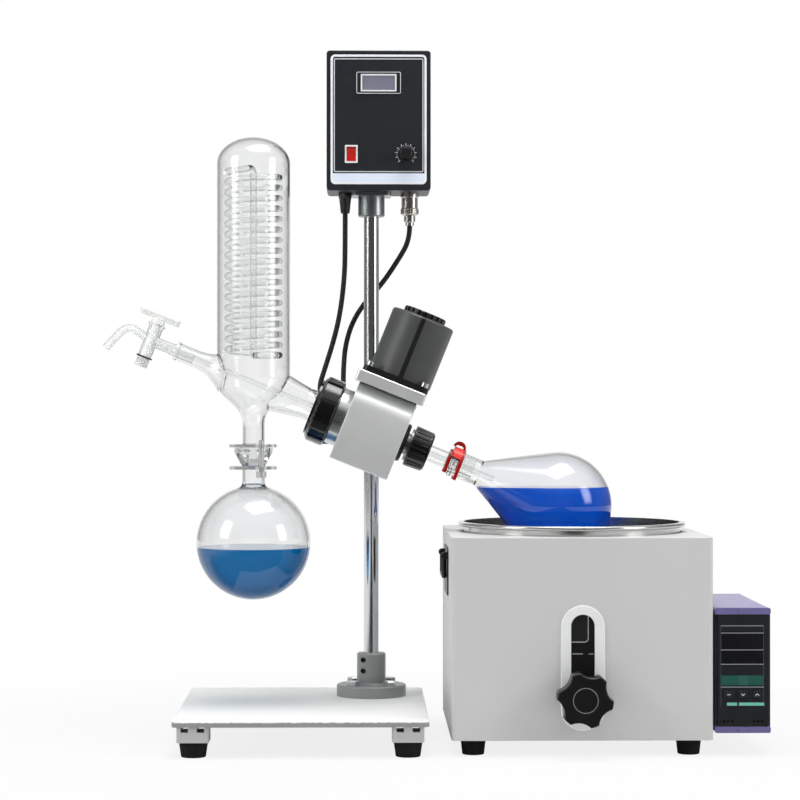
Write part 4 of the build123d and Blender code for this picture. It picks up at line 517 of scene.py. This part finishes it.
spindle_steel = metal("spindle_steel", tone(150, 151, 152), 0.24, scale=180, **lathed)
gear_steel = metal("gear_steel", tone(140, 141, 143), 0.35, scale=300)
bush_brass = metal("bush_brass", tone(190, 160, 92), 0.3, (1, 1, 8), scale=200)
socket_metal = metal("socket_metal", tone(150, 152, 154), 0.34, (1, 1, 8), scale=200)
soft_rubber = rubber("soft_rubber")
lead_rubber = rubber("lead_rubber")
lab_glass = clear("lab_glass", (0.940, 0.945, 0.943, 1), (0.12, 0.13, 0.13, 1), 1.47)
coil_glass = clear("coil_glass", (0.93, 0.94, 0.94, 1), (0.30, 0.31, 0.31, 1), 1.42)
tube_glass = clear("tube_glass", (0.95, 0.955, 0.955, 1), (0.55, 0.56, 0.56, 1), 1.15)
milky = {"rough": 0.03, "through": 0.7, "edge": 2}
milk_glass = clear("milk_glass", (0.93, 0.935, 0.935, 1), (0.10, 0.11, 0.11, 1), 1.12, **milky)
dyed = {"lit": (0.82, 0.88, 0.94, 1), "through": 0.6, "shine": 0.06}
azure_dye = clear("azure_dye", (0.001, 0.18, 0.46, 1), (0.0, 0.06, 0.18, 1), 1.33, **dyed)
royal_dye = clear("royal_dye", (0.001, 0.10, 0.62, 1), (0.0, 0.03, 0.26, 1), 1.33, **dyed)
panel_print = printed_panel()
display_face = display_glass()
controller_black = controller_front()
key_black = controller_keys()
case_mould = controller_shell()
motor_coat = motor_shell()
slot_black = slot_plate()
knob_black = star_knob()
cock_polymer = cock_white()

dress = {
    white_coat: ["base_plate"],
    bath_coat: ["bath_case", "bath_top", "controller_bracket"],
    case_coat: ["head_housing"],
    head_coat: ["motor_plate"],
    cast_coat: ["column_flange"],
    black_coat: ["control_box", "column_clamp"],
    slot_black: ["pot_carrier"],
    panel_print: ["control_panel"],
    display_face: ["speed_display"],
    motor_coat: ["motor_body"],
    black_mould: [
        "cable_gland", "handle_plate", "handle_bail", "motor_cap", "front_cap", "tilt_lever",
        "height_lever", "speed_knob",
    ],
    knob_black: ["bath_knob"],
    gloss_mould: ["flask_nut", "condenser_nut"],
    white_mould: ["switch_frame", "slot_trim"],
    red_mould: ["power_rocker"],
    clip_mould: ["joint_clip"],
    case_mould: ["controller_case"],
    controller_black: ["controller_face"],
    key_black: ["key_set", "key_down", "key_up"],
    cock_polymer: ["stopcock_key"],
    tube_glass: ["feed_tube"],
    milk_glass: ["stopcock_body"],
    block_coat: ["foot_blocks"],
    column_steel: ["column"],
    zinc_steel: ["flange_bolts"],
    nickel_plate: ["lead_connector"],
    pot_steel: ["bath_pot"],
    clamp_steel: ["receiver_clamp"],
    turned_metal: ["rear_collar", "heater"],
    spindle_steel: ["spindle"],
    gear_steel: ["motor_shaft", "drive_gear", "spindle_bearings"],
    bush_brass: ["clamp_bush"],
    socket_metal: ["box_socket"],
    soft_rubber: ["base_feet", "bath_feet", "vacuum_seal"],
    lead_rubber: ["left_lead", "right_lead"],
    lab_glass: ["condenser_body", "receiver_flask", "evaporating_flask", "vapour_tube"],
    coil_glass: ["condenser_coil"],
}
for coat, names in dress.items():
    for name in names:
        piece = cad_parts[name]
        piece.data.materials.clear()
        piece.data.materials.append(coat)


# Modelling by hand
def deselect():
    bpy.ops.object.select_all(action="DESELECT")


def finished(piece, name, body, coat, angle=35):
    """Name a piece, put its place into its mesh, smooth it and let it ride."""
    deselect()
    piece.select_set(True)
    bpy.context.view_layer.objects.active = piece
    bpy.ops.object.transform_apply(location=True, rotation=True, scale=True)
    bpy.ops.object.shade_smooth_by_angle(angle=radians(angle))
    piece.name = piece.data.name = name
    piece.data.materials.clear()
    piece.data.materials.append(coat)
    if body:
        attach(piece, body)
    return piece


def turned(profile, base, axis, steps=64):
    """Spin a profile of (along, radius) points about an axis through base."""
    deselect()
    axis = Vector(axis).normalized()
    side = axis.orthogonal().normalized()
    spots = [base + axis * along + side * radius for along, radius in profile]
    bpy.ops.mesh.primitive_plane_add(size=0.0001, location=spots[0])
    piece = bpy.context.object
    bpy.ops.object.mode_set(mode="EDIT")
    bpy.ops.mesh.select_mode(type="VERT")
    bpy.ops.mesh.select_all(action="SELECT")
    bpy.ops.mesh.merge(type="CENTER")
    for here, there in zip(spots, spots[1:]):
        bpy.ops.mesh.extrude_region_move(TRANSFORM_OT_translate={"value": there - here})
    bpy.ops.mesh.select_all(action="SELECT")
    bpy.ops.mesh.spin(steps=steps, angle=2 * pi, center=base, axis=axis)
    bpy.ops.mesh.select_all(action="SELECT")
    bpy.ops.mesh.remove_doubles(threshold=1e-6)
    bpy.ops.mesh.normals_make_consistent(inside=False)
    bpy.ops.object.mode_set(mode="OBJECT")
    return piece


def joined(pieces):
    """Join copies into the first one."""
    deselect()
    for piece in pieces:
        piece.select_set(True)
    bpy.context.view_layer.objects.active = pieces[0]
    bpy.ops.object.join()
    return pieces[0]


def socket_screws(spots, way, head, height):
    """Cap screws with a hexagon socket, modelled once and copied to each spot."""
    deselect()
    middle = (0, 0, height / 2)
    bpy.ops.mesh.primitive_cylinder_add(vertices=24, radius=head / 2, depth=height, location=middle)
    first = bpy.context.object
    bpy.ops.object.transform_apply(location=True, rotation=True, scale=True)
    bpy.ops.object.mode_set(mode="EDIT")
    bpy.ops.mesh.select_mode(type="FACE")
    bpy.ops.mesh.select_all(action="DESELECT")
    bpy.ops.object.mode_set(mode="OBJECT")
    for face in first.data.polygons:
        face.select = face.normal.z > 0.9
    bpy.ops.object.mode_set(mode="EDIT")
    bpy.ops.mesh.inset(thickness=head * 0.06)
    bpy.ops.transform.translate(value=(0, 0, height * 0.04))
    bpy.ops.mesh.inset(thickness=head * 0.16)
    bpy.ops.mesh.extrude_region_move(TRANSFORM_OT_translate={"value": (0, 0, -height * 0.5)})
    bpy.ops.object.mode_set(mode="OBJECT")
    turn = Vector(way).to_track_quat("Z", "Y").to_matrix().to_4x4()
    copies = []
    for spot in spots:
        copy = first.copy()
        copy.data = first.data.copy()
        copy.data.transform(Matrix.Translation(spot) @ turn)
        bpy.context.collection.objects.link(copy)
        copies.append(copy)
    bpy.data.objects.remove(first)
    return joined(copies)


# Leads, first as smooth lines through the route, then as tubes
LEAD_WIDTH = 0.006


def lead(name, node, route):
    """A lead as a tube along its route."""
    line = bpy.data.curves.new(name + "_line", "CURVE")
    line.dimensions = "3D"
    spline = line.splines.new("NURBS")
    spline.points.add(len(route) - 1)
    for point, spot in zip(spline.points, route):
        point.co = (*spot, 1)
    spline.order_u = 3
    spline.use_endpoint_u = True
    line.resolution_u = 10
    bare = bpy.data.objects.new(name, line)
    bpy.context.collection.objects.link(bare)
    bpy.context.view_layer.update()
    drawn = bare.evaluated_get(bpy.context.evaluated_depsgraph_get())
    path = [v.co.copy() for v in bpy.data.meshes.new_from_object(drawn).vertices]
    line.bevel_depth = LEAD_WIDTH / 2
    line.bevel_resolution = 5
    line.use_fill_caps = True
    deselect()
    bare.select_set(True)
    bpy.context.view_layer.objects.active = bare
    bpy.ops.object.convert(target="MESH")
    tube = finished(bpy.context.object, name, None, lead_rubber, 60)
    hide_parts(node)
    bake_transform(tube)


GLAND_X = BOX_X - 0.0394
PLUG_X, PLUG_Y = BOX_X + 0.0372, 0.1
left_route = [
    (GLAND_X, 0.094, 0.611), (GLAND_X, 0.094, 0.573), (GLAND_X - 0.0007, 0.095, 0.536),
    (GLAND_X - 0.006, 0.0965, 0.492), (GLAND_X - 0.014, 0.097, 0.459), (GLAND_X - 0.0245, 0.0965, 0.426),
    (GLAND_X - 0.0315, 0.0955, 0.404), (-0.118, 0.094, 0.381), (-0.118, 0.094, 0.369),
]
right_route = [
    (PLUG_X, PLUG_Y, 0.597), (PLUG_X, PLUG_Y, 0.580), (PLUG_X - 0.014, PLUG_Y + 0.005, 0.556),
    (PLUG_X - 0.033, PLUG_Y + 0.009, 0.528), (PLUG_X - 0.056, PLUG_Y + 0.009, 0.503),
    (PLUG_X - 0.0695, PLUG_Y + 0.007, 0.4795), (PLUG_X - 0.0765, PLUG_Y + 0.004, 0.454),
    (PLUG_X - 0.0785, PLUG_Y + 0.001, 0.430), (PLUG_X - 0.079, PLUG_Y - 0.002, 0.404),
    (-0.0925, 0.094, 0.384), (-0.0925, 0.094, 0.369),
]
lead("left_lead_tube", "left_lead", left_route)
lead("right_lead_tube", "right_lead", right_route)


# Liquids: the pear and the globe lathed to their inside, then cut level
def cut_level(piece, height):
    """Cut a lathed liquid level at a height and close its surface."""
    deselect()
    piece.select_set(True)
    bpy.context.view_layer.objects.active = piece
    bpy.ops.object.transform_apply(location=True, rotation=True, scale=True)
    bpy.ops.object.mode_set(mode="EDIT")
    bpy.ops.mesh.select_all(action="SELECT")
    bpy.ops.mesh.bisect(plane_co=(0, 0, height), plane_no=(0, 0, 1), use_fill=True, clear_outer=True)
    bpy.ops.mesh.select_all(action="SELECT")
    bpy.ops.mesh.normals_make_consistent(inside=False)
    bpy.ops.object.mode_set(mode="OBJECT")
    return piece


def pear_profile(radius, start):
    """The flask's cone and bowl, from a point on the spindle's axis."""
    slope = radians(29)
    middle = 0.230
    steps = 24
    shoulder = (middle - radius * sin(slope), radius * cos(slope))
    neck = shoulder[1] - (shoulder[0] - start) * tan(slope)
    points = [(start, 0.0), (start, neck), shoulder]
    for i in range(1, steps + 1):
        turn = pi / 2 + slope - (pi / 2 + slope) * i / steps
        points.append((middle + radius * cos(turn), radius * sin(turn)))
    points[-1] = (middle + radius, 0.0)
    return points


flask_level = 0.2895
flask_inside = 0.0597
flask_liquid = cut_level(turned(pear_profile(flask_inside, 0.1335), PIVOT, ALONG, 96), flask_level)
finished(flask_liquid, "flask_liquid", "head", royal_dye, 30)
receiver_level = 0.221
globe = Vector((-0.19772, 0.004, 0.2259))
globe_inside = 0.0641
ball = [(-globe_inside * cos(pi * i / 40), globe_inside * sin(pi * i / 40)) for i in range(41)]
ball[0], ball[-1] = (-globe_inside, 0.0), (globe_inside, 0.0)
receiver_liquid = cut_level(turned(ball, globe, UP, 96), receiver_level)
finished(receiver_liquid, "receiver_liquid", "head", azure_dye, 30)

# Small fasteners and seals
corners = (pi / 4, 3 * pi / 4, 5 * pi / 4, 7 * pi / 4)
cap_ring = 17.75
cap_spots = [on_head(37.1, cap_ring * cos(a), cap_ring * sin(a)) for a in corners]
cap_screws = socket_screws(cap_spots, ALONG, 0.0046, 0.0026)
finished(cap_screws, "cap_screws", "head", zinc_steel, 30)
motor_spots = [on_head(2 + u, 67, v) for u in (-33, 33) for v in (-33, 33)]
motor_screws = socket_screws(motor_spots, ACROSS, 0.0085, 0.005)
finished(motor_screws, "motor_screws", "head", zinc_steel, 30)
grub_turn = radians(34)
grub_way = Vector((-sin(grub_turn), -cos(grub_turn), 0))
hub_top, hub_height = 0.0905, 0.037
grub_spots = [COLUMN + grub_way * 0.0125 + UP * (hub_top - hub_height * drop) for drop in (0.2, 0.55)]
flange_grubs = socket_screws(grub_spots, grub_way, 0.0058, 0.0062)
finished(flange_grubs, "flange_grubs", "stand", black_steel, 30)
ring_turns = [2 * pi * i / 12 for i in range(13)]
ring_round = [(0.0009 * sin(turn), 0.0087 + 0.0009 * cos(turn)) for turn in ring_turns]
seal = turned(ring_round, on_head(-275, -20.2), ACROSS, 40)
finished(seal, "stopcock_ring", "stopcock_key", soft_rubber, 60)

# Floor: white to the camera and in glass, dark in front for the gloss of metal and paint
deselect()
bpy.ops.mesh.primitive_plane_add(size=14, location=(0, 0, 0))
floor = bpy.context.object
floor.name = "floor"
ground = Finish("floor_white", (0.78, 0.78, 0.78, 1), 0.7)
path_node = ground.node("ShaderNodeLightPath").socket.node
in_glass = Tap(ground, path_node.outputs["Is Transmission Ray"])
in_gloss = Tap(ground, path_node.outputs["Is Glossy Ray"])
seen = Tap(ground, path_node.outputs["Is Camera Ray"]).high(in_glass).high(in_gloss)
floor_x, floor_y, _ = ground.axes()
far = (((floor_x * floor_x + floor_y * floor_y) ** 0.5 - 0.45) / 0.4).clamp()
in_front = ((floor_y - 0.16) / -0.12).clamp() * ((1.1 - abs(floor_x)) / 0.5).clamp()
dark_front = in_front * in_gloss * (1 - in_glass)
floor_glow = ground.mix(dark_front, (1, 1, 1, 1), (0.05, 0.05, 0.05, 1))
glow = ground.node("ShaderNodeEmission", None, {"Color": floor_glow, "Strength": 1.0})
shaded = Tap(ground, ground.shader.outputs[0])
white_share = seen * (far * 0.16 + 0.84)
ground.surface(ground.node("ShaderNodeMixShader", None, {0: white_share, 1: shaded, 2: glow}))
floor.data.materials.append(ground.material)

# Room: white to the camera, with a pale back and ceiling and dim sides for gloss and glass
world = bpy.data.worlds.new("studio")
bpy.context.scene.world = world
world.use_nodes = True
sky = Board(world.node_tree)
rays = sky.node("ShaderNodeLightPath").socket.node
camera_ray = Tap(sky, rays.outputs["Is Camera Ray"])
glass_ray = Tap(sky, rays.outputs["Is Transmission Ray"])
mirror_ray = Tap(sky, rays.outputs["Is Glossy Ray"]).high(glass_ray)
facing = sky.node("ShaderNodeTexCoord", output="Generated")
way = sky.node("ShaderNodeSeparateXYZ", None, {0: facing}).socket.node
behind, above = Tap(sky, way.outputs[1]), Tap(sky, way.outputs[2])
backdrop_white = ((behind - 0.80) / 0.15).clamp()
ceiling = ((above - 0.35) / 0.4).clamp() * 0.9
room = (behind * 0.32 + 0.3).high(0.08).low(0.3)
beyond = ((abs(behind) - 0.80) / 0.15).clamp().high(0.5) * glass_ray
mirrored = mirror_ray * backdrop_white.high(ceiling).high(room).high(beyond)
level = camera_ray.high(mirrored).high((1 - camera_ray) * (1 - mirror_ray) * 0.3)
backdrop = sky.tree.nodes["Background"]
sky.feed(backdrop.inputs["Color"], (1, 1, 1, 1))
sky.feed(backdrop.inputs["Strength"], level)


def softbox(name, spot, aim, size, power):
    """A lamp that is bright in the middle and fades to its edge, for soft highlights."""
    lost_to_fading = 2.25
    light = bpy.data.lights.new(name, "AREA")
    light.shape = "RECTANGLE"
    light.size, light.size_y = size
    light.energy = power * lost_to_fading
    light.use_nodes = True
    cloth = Board(light.node_tree)
    place = cloth.node("ShaderNodeNewGeometry", output="Parametric")
    split = cloth.node("ShaderNodeSeparateXYZ", None, {0: place}).socket.node
    wide, tall = Tap(cloth, split.outputs[0]), Tap(cloth, split.outputs[1])
    fade = wide * (1 - wide) * tall * (1 - tall) * 16
    cloth.feed(cloth.tree.nodes["Emission"].inputs["Strength"], fade)
    lamp = bpy.data.objects.new(name, light)
    bpy.context.collection.objects.link(lamp)
    lamp.location = spot
    lamp.rotation_euler = (Vector(aim) - Vector(spot)).to_track_quat("-Z", "Y").to_euler()


softbox("left_box", (-2.0, -1.0, 1.2), (0, 0, 0.4), (1.0, 1.5), 18)
softbox("right_box", (2.0, -1.0, 1.05), (0, 0, 0.35), (1.0, 1.5), 17)
softbox("top_box", (0.2, -0.25, 2.5), (0, 0, 0.3), (2.0, 1.5), 44)

# Camera at the photograph's place, a little to the left, turned to the middle of the frame
lens_pixels = 2393
lens = bpy.data.cameras.new("camera")
lens.lens = 107.7
lens.sensor_width = 36
camera = bpy.data.objects.new("camera", lens)
bpy.context.collection.objects.link(camera)
camera.location = (-0.0755, -2.746, 0.378)
camera.rotation_euler = (pi / 2 + atan(10 / lens_pixels), 0, -atan(40 / lens_pixels))
lens.clip_end = 50
bpy.context.scene.camera = camera
bpy.context.scene.view_settings.view_transform = "Standard"
